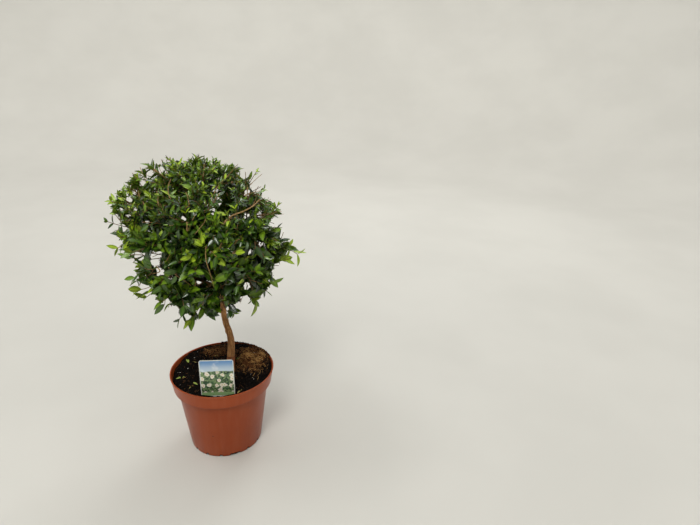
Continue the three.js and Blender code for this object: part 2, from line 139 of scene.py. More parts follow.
def makePiece(name, points, faceSets, finishes, which=None, sharp=45, attributes=None, uv=None):
    # Points in millimetres. faceSets holds arrays of quads and of triangles, and which gives the finish of each
    # face in the same order. The shape's volume, summed over its triangles, says whether it is inside out.
    points = np.asarray(points, float).reshape(-1, 3)
    inside = points.mean(axis=0)
    volume = 0.0
    for faces in faceSets:
        corner = points[faces] - inside
        for k in range(1, faces.shape[1] - 1):
            volume += np.sum(corner[:, 0] * np.cross(corner[:, k], corner[:, k + 1]))
    if volume < 0:
        faceSets = [faces[:, ::-1] for faces in faceSets]
    loops = np.concatenate([faces.ravel() for faces in faceSets]).astype(np.int32)
    sizes = np.concatenate([np.full(len(faces), faces.shape[1]) for faces in faceSets])
    starts = np.concatenate([[0], np.cumsum(sizes)[:-1]]).astype(np.int32)
    mesh = bpy.data.meshes.new(name)
    mesh.vertices.add(len(points))
    mesh.vertices.foreach_set("co", (points * 0.001).astype(np.float32).ravel())
    mesh.loops.add(len(loops))
    mesh.loops.foreach_set("vertex_index", loops)
    mesh.polygons.add(len(sizes))
    mesh.polygons.foreach_set("loop_start", starts)
    mesh.polygons.foreach_set("use_smooth", np.ones(len(sizes), bool))
    for finish in finishes:
        mesh.materials.append(finish)
    if which is not None:
        mesh.polygons.foreach_set("material_index", np.asarray(which, np.int32))
    mesh.update(calc_edges=True)
    if uv is not None:
        layer = mesh.uv_layers.new(name="UVMap")
        layer.data.foreach_set("uv", np.asarray(uv, np.float32)[loops].ravel())
    for kind, values in (attributes or {}).items():
        attribute = mesh.attributes.new(kind, "FLOAT", "POINT")
        attribute.data.foreach_set("value", np.asarray(values, np.float32).ravel())
    mesh.validate()
    mesh.set_sharp_from_angle(angle=math.radians(sharp))
    piece = bpy.data.objects.new(name, mesh)
    bpy.context.scene.collection.objects.link(piece)
    return piece


def settle(piece, slot, *nodes):  # rides on the plant and stands for CAD nodes; slot is not used
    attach(piece, "root")
    if nodes:
        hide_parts(*nodes)
    return piece


def curvePoint(curves, t):  # (1-t)²·start + 2t(1-t)·bend + t²·end
    t = np.asarray(t)[..., None]
    return (1 - t) ** 2 * curves[..., 0, :] + 2 * t * (1 - t) * curves[..., 1, :] + t ** 2 * curves[..., 2, :]


def curveHeading(curves, t):  # (1-t)·(bend - start) + t·(end - bend), made a unit vector
    t = np.asarray(t)[..., None]
    along = (1 - t) * (curves[..., 1, :] - curves[..., 0, :]) + t * (curves[..., 2, :] - curves[..., 1, :])
    return unit(along)


def curveLength(curves):  # the sum of eight chords
    points = np.stack([curvePoint(curves, np.full(len(curves), k / 8)) for k in range(9)])
    return np.linalg.norm(np.diff(points, axis=0), axis=-1).sum(axis=0)


def tubes(curves, startRadius, endRadius, steps, sides, relief=None):
    # Round limbs: rings of points about each curve, line + ring · radius, with the radius going evenly from its
    # start to its end, and a pole at each end. A curve's rings are squared to the plane in which it bends.
    count = len(curves)
    t = np.linspace(0, 1, steps + 1)
    spread = curves[:, None]
    line = curvePoint(spread, t[None])
    heading = curveHeading(spread, t[None])
    hinge = np.cross(curves[:, 1] - curves[:, 0], curves[:, 2] - curves[:, 1])
    spare = np.cross(heading[:, 0], np.array([0.31, 0.62, -0.72]))
    hinge = unit(np.where(np.linalg.norm(hinge, axis=-1, keepdims=True) > 1e-3, hinge, spare))[:, None]
    side = unit(hinge - heading * dot(hinge, heading))
    front = np.cross(heading, side)
    turn = 2 * np.pi * np.arange(sides) / sides
    ring = side[:, :, None] * np.cos(turn)[:, None] + front[:, :, None] * np.sin(turn)[:, None]
    radius = blend(np.reshape(startRadius, (-1, 1)), np.reshape(endRadius, (-1, 1)), t)[:, :, None, None]
    if relief is not None:
        radius = radius * relief(line[:, :, None] + ring * radius, t[None, :, None])[..., None]
    points = (line[:, :, None] + ring * radius).reshape(count, -1, 3)
    ends = np.stack([line[:, 0], line[:, -1]], axis=1)
    points = np.concatenate([points, ends], axis=1)
    quads, caps = closedFaces(steps + 1, sides)
    return points, repeated(quads, count, points.shape[1]), repeated(caps, count, points.shape[1])


def sweep(line, radius, around):
    # A stem: a ring of points about each point of a line, line + ring · radius, the radius given for every point,
    # with a pole at the foot and one a little past the tip
    heading = unit(np.gradient(line, axis=0))
    level = np.array([1.0, 0, 0.13])  # no stem runs this way
    side = unit(level - heading * dot(heading, level))
    front = np.cross(heading, side)
    angle = 2 * np.pi * np.arange(around) / around
    ring = side[:, None] * np.cos(angle)[:, None] + front[:, None] * np.sin(angle)[:, None]
    points = (line[:, None] + ring * radius[..., None]).reshape(-1, 3)
    poles = np.stack([line[0], line[-1] + heading[-1] * radius[-1].max() * 0.5])
    return points, poles, closedFaces(len(line), around)


# Helpers for materials

def paint(red, green, blue):  # a colour as a screen shows it, 0 to 255, to the linear values that a shader takes
    shown = np.array([red, green, blue]) / 255
    linear = np.where(shown <= 0.04045, shown / 12.92, ((shown + 0.055) / 1.055) ** 2.4)
    return (*linear.tolist(), 1.0)


class Wire:
    # A socket of a material. An operator on it adds a Math node and gives that node's result.
    def __init__(self, finish, socket):
        self.finish = finish
        self.socket = socket

    def maths(self, operation, *values):
        return self.finish.node("ShaderNodeMath", {"operation": operation}, dict(enumerate(values)))

    def __add__(self, other):
        return self.maths("ADD", self, other)

    def __sub__(self, other):
        return self.maths("SUBTRACT", self, other)

    def __rsub__(self, other):
        return self.maths("SUBTRACT", other, self)

    def __mul__(self, other):
        return self.maths("MULTIPLY", self, other)

    def __truediv__(self, other):
        return self.maths("DIVIDE", self, other)

    def __pow__(self, other):
        return self.maths("POWER", self, other)

    __radd__ = __add__
    __rmul__ = __mul__

    def above(self, other):
        return self.maths("MAXIMUM", self, other)

    def size(self):
        return self.maths("ABSOLUTE", self)

    def wave(self):
        return self.maths("SINE", self)


class Finish:
    # One material: constants go straight onto the shader, and patterns are wired into it
    def __init__(self, name, **constants):
        self.material = bpy.data.materials.new(name)
        self.material.use_nodes = True
        self.tree = self.material.node_tree
        self.shader = self.tree.nodes["Principled BSDF"]
        for socket, value in constants.items():
            self.shader.inputs[socket.replace("_", " ")].default_value = value
        self.place = self.node("ShaderNodeTexCoord", output="Object")

    def node(self, kind, settings=None, sockets=None, output=0):
        made = self.tree.nodes.new(kind)
        for key, value in (settings or {}).items():
            setattr(made, key, value)
        for key, value in (sockets or {}).items():
            if isinstance(value, Wire):
                self.tree.links.new(value.socket, made.inputs[key])
            else:
                made.inputs[key].default_value = value
        return Wire(self, made.outputs[output])

    def noise(self, millimetres, detail=3, stretch=(1, 1, 1), rough=0.55):
        scaled = self.node("ShaderNodeMapping", None, {"Vector": self.place, "Scale": stretch})
        return self.node("ShaderNodeTexNoise", None, {
            "Vector": scaled, "Scale": 1000 / millimetres, "Detail": detail, "Roughness": rough})

    def cells(self, millimetres, output="Distance", place=None, **settings):
        return self.node("ShaderNodeTexVoronoi", settings, {
            "Vector": place or self.place, "Scale": 1000 / millimetres}, output)

    def ramp(self, value, low, high):  # eased from 0 to 1 as the value goes from low to high
        return self.node("ShaderNodeMapRange", {"interpolation_type": "SMOOTHSTEP"}, {
            "Value": value, "From Min": low, "From Max": high, "To Min": 0.0, "To Max": 1.0})

    def patches(self, millimetres, detail, low, high, stretch=(1, 1, 1)):  # noise, eased between two of its levels
        return self.ramp(self.noise(millimetres, detail, stretch), low, high)

    def mix(self, share, *colours):  # the first colour at 0 and the second at 1
        first, second = [colour if isinstance(colour, Wire) else paint(*colour) for colour in colours]
        return self.node("ShaderNodeMix", {"data_type": "RGBA"}, {0: share, 6: first, 7: second}, 2)

    def parts(self, vector):  # its x, y and z
        return [self.node("ShaderNodeSeparateXYZ", None, {0: vector}, axis) for axis in range(3)]

    def bump(self, height, millimetres, strength=1.0):
        return self.node("ShaderNodeBump", None, {
            "Height": height, "Distance": millimetres * 0.001, "Strength": strength})

    def wire(self, **sockets):  # Base_Color=..., Roughness=..., Normal=...
        for key, value in sockets.items():
            self.tree.links.new(value.socket, self.shader.inputs[key.replace("_", " ")])
        return self.material


# Camera, light and floor

camera = {
    "place": (0.2094, -0.7364, 0.6188),
    "down": 21.22,  # degrees below level
    "roll": 1.83,
    "lens": 26.23,
    "sensor": 36.0,  # its width in millimetres, as the lens is
    "frame": (700, 525),  # pixels
}
light = {
    "sky": (0.93, 0.96, 1.0, 1.0),
    "skyStrength": 0.08,
    "lamps": [  # place, target, size, power, colour
        ((0.0, 0.4, 4.0), (0.0, 0.4, 0.0), 4.6, 46.0, (1.0, 0.99, 0.97)),  # a wide soft ceiling
        ((-0.1, -1.4, 2.0), (0.0, 0.0, 0.25), 0.7, 24.0, (1.0, 0.985, 0.96)),  # from the viewer's side
        ((-0.9, -0.1, 2.0), (0.0, 0.0, 0.3), 0.7, 8.0, (0.98, 0.99, 1.0)),  # from the left
        ((0.5, 1.5, 1.8), (0.0, 0.0, 0.3), 0.9, 11.0, (0.98, 0.99, 1.0)),  # from behind
        ((0.0, 1.8, 3.2), (0.0, 5.2, 0.8), 2.4, 86.0, (1.0, 0.99, 0.97)),  # four that light the rising floor
        ((1.8, 0.0, 3.2), (5.2, 0.0, 0.8), 2.4, 70.0, (1.0, 0.99, 0.97)),
        ((0.0, -1.8, 3.2), (0.0, -5.2, 0.8), 2.4, 70.0, (1.0, 0.99, 0.97)),
        ((-1.8, 0.0, 3.2), (-5.2, 0.0, 0.8), 2.4, 70.0, (1.0, 0.99, 0.97)),
    ],
}
stage = {
    "flat": 2.2,  # radius, in metres as the next two
    "edge": 5.0,
    "rise": 2.2,
    "around": 96,
    "colour": (204, 202, 194),
    "shade": 5,  # how much darker its cloudy patches are
    "cloud": 400,
}


def cameraAxes():  # the directions to the right, up and ahead, as unit vectors
    down, roll = math.radians(camera["down"]), math.radians(camera["roll"])
    right = np.array([1.0, 0.0, 0.0])
    ahead = np.array([0.0, math.cos(down), -math.sin(down)])
    up = np.array([0.0, math.sin(down), math.cos(down)])
    return math.cos(roll) * right + math.sin(roll) * up, math.cos(roll) * up - math.sin(roll) * right, ahead


def hold(name, data, across, up, back, place):  # an object for a camera or lamp that faces away from back
    holder = bpy.data.objects.new(name, data)
    matrix = np.eye(4)
    matrix[:3] = np.stack([across, up, back, place], axis=1)
    holder.matrix_world = Matrix(matrix.tolist())
    bpy.context.scene.collection.objects.link(holder)
    return holder


def addCamera():
    across, up, ahead = cameraAxes()
    data = bpy.data.cameras.new("view")
    data.lens = camera["lens"]
    data.sensor_width = camera["sensor"]
    bpy.context.scene.camera = hold("view", data, across, up, -ahead, camera["place"])


def addLight(name, place, target, size, power, colour):
    data = bpy.data.lights.new(name, "AREA")
    data.size = size
    data.energy = power
    data.color = colour
    back = unit(np.array(place) - np.array(target))
    across = unit(np.cross(np.array([0.1, 1.0, 0.05]), back))
    hold(name, data, across, np.cross(back, across), back, place)


def addSurroundings():
    world = bpy.data.worlds.new("studio")
    world.use_nodes = True
    ground = world.node_tree.nodes["Background"]
    ground.inputs[0].default_value = light["sky"]
    ground.inputs[1].default_value = light["skyStrength"]
    bpy.context.scene.world = world
    bpy.context.scene.view_settings.view_transform = "Standard"
    for index, lamp in enumerate(light["lamps"]):
        addLight(f"lamp{index}", *lamp)
    # A shallow dish: flat in the middle, then rising by rise·t² to its edge, so no horizon shows
    flat, edge, around = stage["flat"], stage["edge"], stage["around"]
    radius = np.concatenate([np.linspace(0.02, flat, 6), np.linspace(flat, edge, 20)[1:]])
    height = stage["rise"] * np.clip((radius - flat) / (edge - flat), 0, 1) ** 2
    points = np.concatenate([turnedRings(radius, height, around).reshape(-1, 3), [[0, 0, 0]]]) * 1000
    finish = Finish("paleFloor", Roughness=0.7)
    tone = finish.patches(stage["cloud"], 3, 0.3, 0.7)
    shade = [c - stage["shade"] for c in stage["colour"]]
    finish.wire(Base_Color=finish.mix(tone, stage["colour"], shade))
    faces = [gridFaces(len(radius), around), poleFaces(around * len(radius), np.arange(around))]
    floor = makePiece("floor", points, faces, [finish.material])
    if floor.data.polygons[0].normal.z < 0:
        floor.data.flip_normals()


addCamera()
addSurroundings()
print("stage: camera, light and floor")


# Pot

pot = {
    "height": 136.0,
    "baseRadius": 60.0,
    "shoulderRadius": 74.6,  # outside of the wall under the rim band
    "bandFoot": 111.0,
    "bandFootRadius": 80.6,
    "rimRadius": 85.0,
    "lipHeight": 2.4,
    "lipStep": 0.6,
    "wall": 1.6,
    "floor": 2.0,
    "around": 200,
    "colour": (149, 64, 23),
    "shade": (138, 57, 20),
    "bandLitColour": (170, 78, 34),
    "bandLitShare": 0.35,  # how far the band takes that colour: painted light, the band painted paler because it is lit more than the wall
    "paintedShadeUnder": 0.75,  # how dark the painted shade in the corner under the band is
    "scuff": (208, 150, 120),
    # the colour of dirt and flecks, also used for the painted shade under the band and the painted contact shadow
    # at the foot
    "dirtAndShade": (44, 26, 20),
}
drain = {
    "divisions": 16,
    "firstAzimuth": -63.5,
    "wideEvery": 4,
    "archWidth": 19.0,
    "notchWidth": 5.0,
    "height": 4.6,
    "depth": 3.0,
    "footShare": 1.05,  # a notch leans in: its width at the foot and at the top, in shares of the above
    "topShare": 0.86,
    "holes": 6,
    "holeRadius": 4.5,
    "holeCircle": 34.0,
    "holeAround": 28,
}


def bandRadius(z):  # outside of the rim band, which widens evenly upwards
    top = pot["rimRadius"] - pot["lipStep"]
    return blend(pot["bandFootRadius"], top, (z - pot["bandFoot"]) / (pot["height"] - pot["bandFoot"]))


def wallRadius(z):  # outside of the wall below it, which does too
    return blend(pot["baseRadius"], pot["shoulderRadius"], z / pot["bandFoot"])


def roundedProfile(corners, steps=6):
    # Each corner (r, z, radius) is a small curve between the points that lie radius before and after it
    places = np.array([corner[:2] for corner in corners], float)
    points = [places[:1]]
    t = np.linspace(0, 1, steps)[:, None]
    for before, at, after, corner in zip(places, places[1:], places[2:], corners[1:]):
        start = at + unit(before - at) * min(corner[2], np.linalg.norm(before - at) * 0.45)
        end = at + unit(after - at) * min(corner[2], np.linalg.norm(after - at) * 0.45)
        points.append((1 - t) ** 2 * start + 2 * t * (1 - t) * at + t ** 2 * end)
    points.append(places[-1:])
    return np.concatenate(points)


def revolved(profile, around):
    # A profile (r, z) carried round the pot's axis; its ends on the axis are poles
    rings = profile[1:-1]
    points = turnedRings(rings[:, 0], rings[:, 1], around)
    ends = np.array([[0, 0, profile[0, 1]], [0, 0, profile[-1, 1]]])
    return np.concatenate([points.reshape(-1, 3), ends]), closedFaces(len(rings), around)


def hollowCorners(less):
    # The inside of the pot from its floor to the ledge behind the band, made this much narrower
    wall = pot["wall"] + less
    ledge = pot["bandFoot"] + wall
    return [
        (0, pot["floor"] + less, 0),
        (wallRadius(pot["floor"]) - wall, pot["floor"] + less, 1),
        (wallRadius(pot["bandFoot"]) - wall, ledge, 0.8),
        (bandRadius(ledge) - wall, ledge, 0.8),
    ]


def potFinish():
    finish = Finish("terracottaPlastic", IOR=1.46, Specular_IOR_Level=0.3)
    x, y, z = finish.parts(finish.place)
    cloud = finish.patches(60, 4, 0.35, 0.7)
    flow = finish.patches(9, 3, 0.4, 0.75, (1, 1, 0.12))  # streaks of the moulding
    scuff = finish.patches(1.4, 4, 0.62, 0.72, (1, 1, 2.5)) * finish.patches(17, 2, 0.6, 0.7)
    colour = finish.mix(cloud * 0.6, pot["colour"], pot["shade"])
    band = pot["bandFoot"] * 0.001
    # painted light: the band, lit more than the wall below, is painted paler
    colour = finish.mix(finish.ramp(z, band, band + 0.003) * pot["bandLitShare"], colour, pot["bandLitColour"])
    colour = finish.mix(flow * 0.04, colour, pot["scuff"])
    colour = finish.mix(scuff * 0.35, colour, pot["scuff"])
    # Dirt and painted shade: dust on the lip, splashes low down and single flecks are dirt; the dark line at the
    # foot's edge is partly dirt and partly a painted contact shadow; the dark corner under the band is painted
    # shade
    dust = finish.patches(3.5, 5, 0.56, 0.72) * finish.ramp(z, 0.128, 0.137)
    splash = finish.patches(2.2, 4, 0.6, 0.75) * finish.ramp(z, 0.02, 0.0)
    fleck = finish.ramp(finish.cells(20) + (finish.noise(1.5, 3) - 0.5) * 0.06, 0.07, 0.04)
    fleck = fleck * finish.patches(30, 2, 0.4, 0.5)
    # partly dirt, partly a painted contact shadow where the foot meets the floor
    edge = finish.ramp(z + (finish.noise(3, 3) - 0.5) * 0.0016, 0.0016, 0.0004)
    # painted shade: the wall just under the band's overhang is darkened
    under = finish.ramp(z, band - 0.0055, band - 0.0002) * finish.ramp(z, band + 0.0012, band + 0.0004)
    # grime holds the real dirt and also the painted shade under the band and at the foot
    grime = (dust * 0.55).above(splash * 0.5).above(fleck * 0.85).above(edge * 0.9).above(under * pot["paintedShadeUnder"])
    colour = finish.mix(grime, colour, pot["dirtAndShade"])
    rough = 0.3 + cloud * 0.08 + scuff * 0.25 + dust * 0.3 + finish.noise(0.7, 2) * 0.06
    relief = finish.noise(0.5, 2) * 0.3 + flow * 0.25 + scuff
    return finish.wire(Base_Color=colour, Roughness=rough, Normal=finish.bump(relief, 0.05, 0.5))


def stainAndShadeFinish():  # where the drain notches and holes are cut: near-black, partly plastic stained by wet peat and partly painted shade in these recesses
    finish = Finish("stainedShadedEdge", Specular_IOR_Level=0.15)
    tone = finish.patches(2.5, 4, 0.3, 0.75)
    return finish.wire(Base_Color=finish.mix(tone, (14, 9, 7), (52, 28, 18)), Roughness=0.75 + tone * 0.2)


def drainCutter():
    # Boxes across the bottom corner, some of them wide, and round holes through the floor
    shapes = []
    box = np.array([[x, y, z] for x in (-1, 1) for y in (-1, 1) for z in (-1, 1)], float)
    boxFaces = np.array([[0, 1, 3, 2], [4, 6, 7, 5], [0, 4, 5, 1], [2, 3, 7, 6], [0, 2, 6, 4], [1, 5, 7, 3]])
    for i in range(drain["divisions"]):
        width = drain["notchWidth"] if i % drain["wideEvery"] else drain["archWidth"]
        narrow = np.where(box[:, 2:] > 0, drain["topShare"], drain["footShare"])
        points = box * [drain["depth"], width / 2, drain["height"]] * np.concatenate(
            [np.ones_like(narrow), narrow, np.ones_like(narrow)], axis=1)
        points = points + [pot["baseRadius"], 0, 0]
        angle = np.full(len(points), math.radians(drain["firstAzimuth"] + i * 360 / drain["divisions"]))
        shapes.append((turned(points, upward, angle), [boxFaces]))
    r, through = drain["holeRadius"], pot["floor"] * 2
    profile = np.array([[0, -through], [r, -through], [r, through], [0, through]])
    hole, holeFaces = revolved(profile, drain["holeAround"])
    for i in range(drain["holes"]):
        shapes.append((hole + bearing(360.0 / drain["holes"] * i, 0) * drain["holeCircle"], holeFaces))
    points, quads, triangles, count = [], [], [], 0
    for corners, faces in shapes:
        quads.append(faces[0] + count)
        if len(faces) > 1:
            triangles.append(faces[1] + count)
        points.append(corners)
        count += len(corners)
    return makePiece(
        "drainCutter", np.concatenate(points), [np.concatenate(quads), np.concatenate(triangles)], [stainAndShadeFinish()])


def addPot():
    lipFoot = pot["height"] - pot["lipHeight"]
    corners = [
        (0, 0, 0),
        (pot["baseRadius"], 0, 1.6),
        (pot["shoulderRadius"], pot["bandFoot"], 0.9),
        (pot["bandFootRadius"], pot["bandFoot"], 1.1),
        (bandRadius(lipFoot), lipFoot, 0.7),
        (pot["rimRadius"], lipFoot + pot["lipStep"], 0.7),
        (pot["rimRadius"], pot["height"], 1.2),
        (bandRadius(pot["height"]) - pot["wall"], pot["height"], 1.0),
        *hollowCorners(0)[::-1],
    ]
    points, faces = revolved(roundedProfile(corners), pot["around"])
    shell = makePiece("potShell", points, faces, [potFinish()])
    cutter = drainCutter()
    cut = shell.modifiers.new("drain", "BOOLEAN")
    cut.operation = "DIFFERENCE"
    cut.solver = "EXACT"
    # the cut faces take the cutter's finish: peat stain and painted shade
    cut.material_mode = "TRANSFER"
    cut.object = cutter
    bpy.context.view_layer.update()
    whole = shell.evaluated_get(bpy.context.evaluated_depsgraph_get())
    mesh = bpy.data.meshes.new_from_object(whole)
    shell.modifiers.clear()
    shell.data = mesh
    bpy.data.objects.remove(cutter)
    mesh.set_sharp_from_angle(angle=math.radians(50))
    settle(shell, "plastic", "pot")
    print("stage: pot,", len(mesh.polygons), "faces")


addPot()


# Peat: the bed, its crumbs, the fibrous mound, and what lies on it

peat = {
    "frontLevel": 121.0,
    "backLevel": 134.5,
    "slope": (-50, 60),  # y between which the level rises from the front one to the back one
    "ripple": 0.9,
    "moundAzimuth": 38.0,
    "moundDistance": 52.0,
    "moundHeight": 5.0,
    "moundSpread": 30.0,
    "relief": [(14, 1.7, 3), (6, 1.6, 4), (2.8, 1.1, 5), (1.3, 0.5, 6)],  # size, height, seed
    "moundRelief": [(11, 4.2, 7), (5.5, 3.2, 8), (2.6, 1.6, 9)],  # as above, on the mound alone
    "calmAt": (8, -60),  # beside the label, where the bumps are low
    "calm": (14, 34),  # distances from there between which they grow to their full height
    "notchClear": 2.2,  # how far behind the drain notches the peat stops
    "bedClear": 0.3,  # from the pot's inside below the band, and inside the band
    "wallClear": 0.25,
    "belowRim": 0.4,
    "outer": 78.0,  # radius inside which crumbs and fibres lie
    "rings": 100,
    "around": 260,
    "stem": (11.8, 2.0),  # where the stem stands, and how much room it keeps
    "stemClear": 10.0,
    "patch": (-22.0, 58.0),  # a brown patch behind the stem
    "crumbs": 4200,
    "crumbSize": (0.45, 1.9),  # the least, and how much larger they can be
    "rootCrumbs": 0.1,  # share of the crumbs that are brown off the mound
    "onMound": 0.45,  # share of the mound's height past which they have its colour
    "grit": 42,
    "gritSize": (0.35, 0.85),
    "fibres": 3200,
    "fibreSpread": (13, 15),
    "patchFibres": ((-24, 54), (13, 7)),  # middle and spread of those on the patch
    "loose": 160,
    "fibreLength": (3, 12),  # as for the crumbs
    "fibreRadius": (0.14, 0.18),
    "rimCrumbs": 420,
    "rimFrom": 28.0,  # azimuths between which crumbs lie on the rim
    "rimTo": 124.0,
    "inNotch": 12,  # crumbs in each drain notch, and in each wide one
    "inArch": 44,
    "tuft": 8.0,  # size of the tufts in which fibres lie on the mound, and the azimuth in which they are combed
    "combed": -48.0,
    "dark": (7, 5, 4),
    "middling": (18, 12, 9),
    "brown": (25, 17, 11),
    "moundTone": (124, 72, 32),
    "straw": (206, 146, 78),
}
fallenLeaves = [  # x, y, length, width, heading in degrees, colour index
    (-67, 24, 15, 5.0, 120, 1), (-53, 20, 9, 2.6, 150, 2), (-66, -17, 17, 3.2, 28, 1), (-38, -30, 13, 3.0, -35, 1),
    (-43, -38, 10, 2.4, 70, 2), (24, 26, 14, 6.5, 10, 0), (-20, 41, 11, 4, 200, 2), (38, -46, 12, 3.2, 65, 2),
]


def moundShare(x, y):  # exp(-(distance from the mound's middle / its spread)²)
    middle = bearing(peat["moundAzimuth"], 0) * peat["moundDistance"]
    away = np.hypot(x - middle[0], y - middle[1]) / peat["moundSpread"]
    return np.exp(-away * away)


def soilLevel(x, y):
    # The source's level: a slope from front to back, the mound at the back right, and a slow ripple
    slope = (peat["backLevel"] - peat["frontLevel"]) * smooth(y, *peat["slope"])
    ripple = peat["ripple"] * np.sin(x * 0.16 + 1) * np.cos(y * 0.13)
    return peat["frontLevel"] + slope + peat["moundHeight"] * moundShare(x, y) + ripple


def peatTop(x, y):
    # The level with bumps of four sizes, rougher on the mound and even beside the label
    place = together(x, y, np.zeros_like(x))
    bumps = sum(height * grain(place, size, seed) for size, height, seed in peat["relief"])
    clods = sum(height * np.abs(grain(place, size, seed)) for size, height, seed in peat["moundRelief"])
    calmX, calmY = peat["calmAt"]
    calm = blend(0.35, 1.0, smooth(np.hypot(x - calmX, (y - calmY) * 1.6), *peat["calm"]))
    return soilLevel(x, y) + (bumps * 0.8 + (clods * 1.4 - 1.6) * smooth(moundShare(x, y), 0.15, 0.6)) * calm


def peatEdge(z):  # how far out the peat reaches inside the band
    return bandRadius(z) - pot["wall"] - peat["wallClear"]


def peatFinish():
    finish = Finish("dampPeat", IOR=1.4, Specular_IOR_Level=0.1)
    coarse = finish.patches(7, 4, 0.35, 0.68)
    fine = finish.patches(1.3, 4, 0.42, 0.72)
    colour = finish.mix(coarse * 0.65, peat["dark"], peat["middling"])
    colour = finish.mix(fine * 0.5, colour, peat["brown"])
    x, y, _ = finish.parts(finish.place)

    def awayFrom(spot, ragged):  # distance in metres, with a ragged edge
        spread = ((x - spot[0] * 0.001) ** 2 + (y - spot[1] * 0.001) ** 2) ** 0.5
        return spread + (finish.noise(ragged, 4) - 0.5) * 0.03

    middle = bearing(peat["moundAzimuth"], 0) * (peat["moundDistance"] + 5)
    mound = finish.ramp(awayFrom(middle, 11), 0.034, 0.012)
    patch = finish.ramp(awayFrom(peat["patch"], 9), 0.026, 0.008) * 0.75
    tan = finish.mix(fine * 0.6, peat["moundTone"], peat["straw"])
    tan = finish.mix(finish.patches(3.2, 4, 0.52, 0.4) * 0.85, tan, peat["brown"])
    colour = finish.mix(mound.above(patch) * (0.2 + coarse * 0.55), colour, tan)
    rough = 0.95 - fine * 0.25
    relief = finish.noise(1.6, 4) + finish.noise(0.5, 2) * 0.4
    return finish.wire(Base_Color=colour, Roughness=rough, Normal=finish.bump(relief, 0.7))


def scrapFinish(name, dark, pale, rough=0.8):
    finish = Finish(name, Specular_IOR_Level=0.12)
    tone = finish.patches(1.1, 4, 0.35, 0.7)
    colour = finish.mix(tone, dark, pale)
    return finish.wire(
        Base_Color=colour, Roughness=rough + tone * 0.15, Normal=finish.bump(finish.noise(0.5, 3), 0.25))


def addBed():
    # A closed body of peat: rings up the hollow's profile, then rings of edge·share^0.85 inwards over the lumpy
    # top, which meets the wall at its own level
    turn = np.linspace(0, 2 * np.pi, peat["around"], endpoint=False)
    cos, sin = np.cos(turn), np.sin(turn)
    below, highest = peat["bedClear"], pot["height"] - peat["belowRim"]
    foot, clear = pot["floor"] + below, pot["baseRadius"] - peat["notchClear"]
    profile = [(clear, foot, 0), (clear, 8.0, 0), (wallRadius(10) - 2.1, 10.0, 0), *hollowCorners(below)[2:]]
    rings = [together(r * cos, r * sin, np.full_like(cos, z)) for r, z, _ in profile]
    edge = peatEdge(np.minimum(soilLevel(80 * cos, 80 * sin), highest))
    for share in np.linspace(1, 0.012, peat["rings"]):
        r = edge * share ** 0.85
        x, y = r * cos, r * sin
        z = np.minimum(peatTop(x, y), blend(highest, 150, (1 - share) * 6))
        rings.append(together(x, y, z - 0.5 * (share == 1)))
    poles = np.array([[0, 0, foot], [0, 0, float(peatTop(np.array(0.0), np.array(0.0)))]])
    faces = closedFaces(len(rings), peat["around"])
    bed = makePiece("peatBed", np.concatenate([*rings, poles]), faces, [peatFinish()], sharp=80)
    settle(bed, "peat", "soil")


def onBed(random, count):  # places spread evenly over the bed, clear of the stem
    r = np.sqrt(random.uniform(0, peat["outer"] ** 2, count))
    a = random.uniform(0, 2 * np.pi, count)
    x, y = r * np.cos(a), r * np.sin(a)
    clear = np.hypot(x - peat["stem"][0], y - peat["stem"][1]) > peat["stemClear"]
    return x[clear], y[clear]


def lumps(random, x, y, size, sink=0.3, level=None):
    # Rough lumps: the twelve corners of an icosahedron, each moved in or out, squashed and turned
    gold = (1 + 5 ** 0.5) / 2
    signs = [(s, t) for s in (-1, 1) for t in (-1, 1)]
    corner = [[s, t * gold, 0.0] for s, t in signs] + [[0.0, s, t * gold] for s, t in signs]
    corner = unit(np.array(corner + [[t * gold, 0.0, s] for s, t in signs]))
    near = np.linalg.norm(corner[:, None] - corner[None], axis=-1) < 1.2
    faces = np.array([[i, j, k] for i in range(12) for j in range(i + 1, 12) for k in range(j + 1, 12)
                      if near[i, j] and near[j, k] and near[i, k]])
    out = np.einsum("ij,ij->i", np.cross(corner[faces[:, 1]] - corner[faces[:, 0]],
                                         corner[faces[:, 2]] - corner[faces[:, 0]]), corner[faces[:, 0]])
    faces = np.where(out[:, None] > 0, faces, faces[:, ::-1])
    count = len(x)
    shape = corner[None] * random.uniform(0.6, 1.25, (count, 12, 1)) * random.uniform(0.5, 1.3, (count, 1, 3))
    shape = turned(shape, unit(random.normal(size=(count, 1, 3))), random.uniform(0, 6.28, (count, 1)))
    z = peatTop(x, y) + size * (0.5 - sink) if level is None else level
    place = together(x, y, z)
    return place[:, None] + shape * size[:, None, None], repeated(faces, count, 12)


def addLumps(name, shape, finishes, which=None):
    points, faces = shape
    which = None if which is None else np.repeat(which, len(faces) // len(points))
    settle(makePiece(name, points, [faces], finishes, which, sharp=30), "peat")


def addCrumbs(random):  # over the whole bed, in three browns, and a little pale grit
    x, y = onBed(random, peat["crumbs"])
    least, more = peat["crumbSize"]
    shape = lumps(random, x, y, least + more * random.random(len(x)) ** 3.2)
    onMound = moundShare(x, y) + random.normal(0, 0.12, len(x)) > peat["onMound"]
    which = np.where(onMound, 2, np.where(random.random(len(x)) < peat["rootCrumbs"], 1, 0))
    addLumps("peatCrumbs", shape, [
        scrapFinish("peatCrumb", (7, 5, 4), (22, 15, 11)),
        scrapFinish("rootCrumb", (40, 27, 17), (70, 48, 30)),
        scrapFinish("moundCrumb", (64, 38, 20), (128, 84, 44)),
    ], which)
    x, y = onBed(random, peat["grit"])
    shape = lumps(random, x, y, random.uniform(*peat["gritSize"], len(x)), 0.1)
    addLumps("paleGrit", shape, [scrapFinish("whiteGrit", (196, 188, 172), (226, 222, 210))])


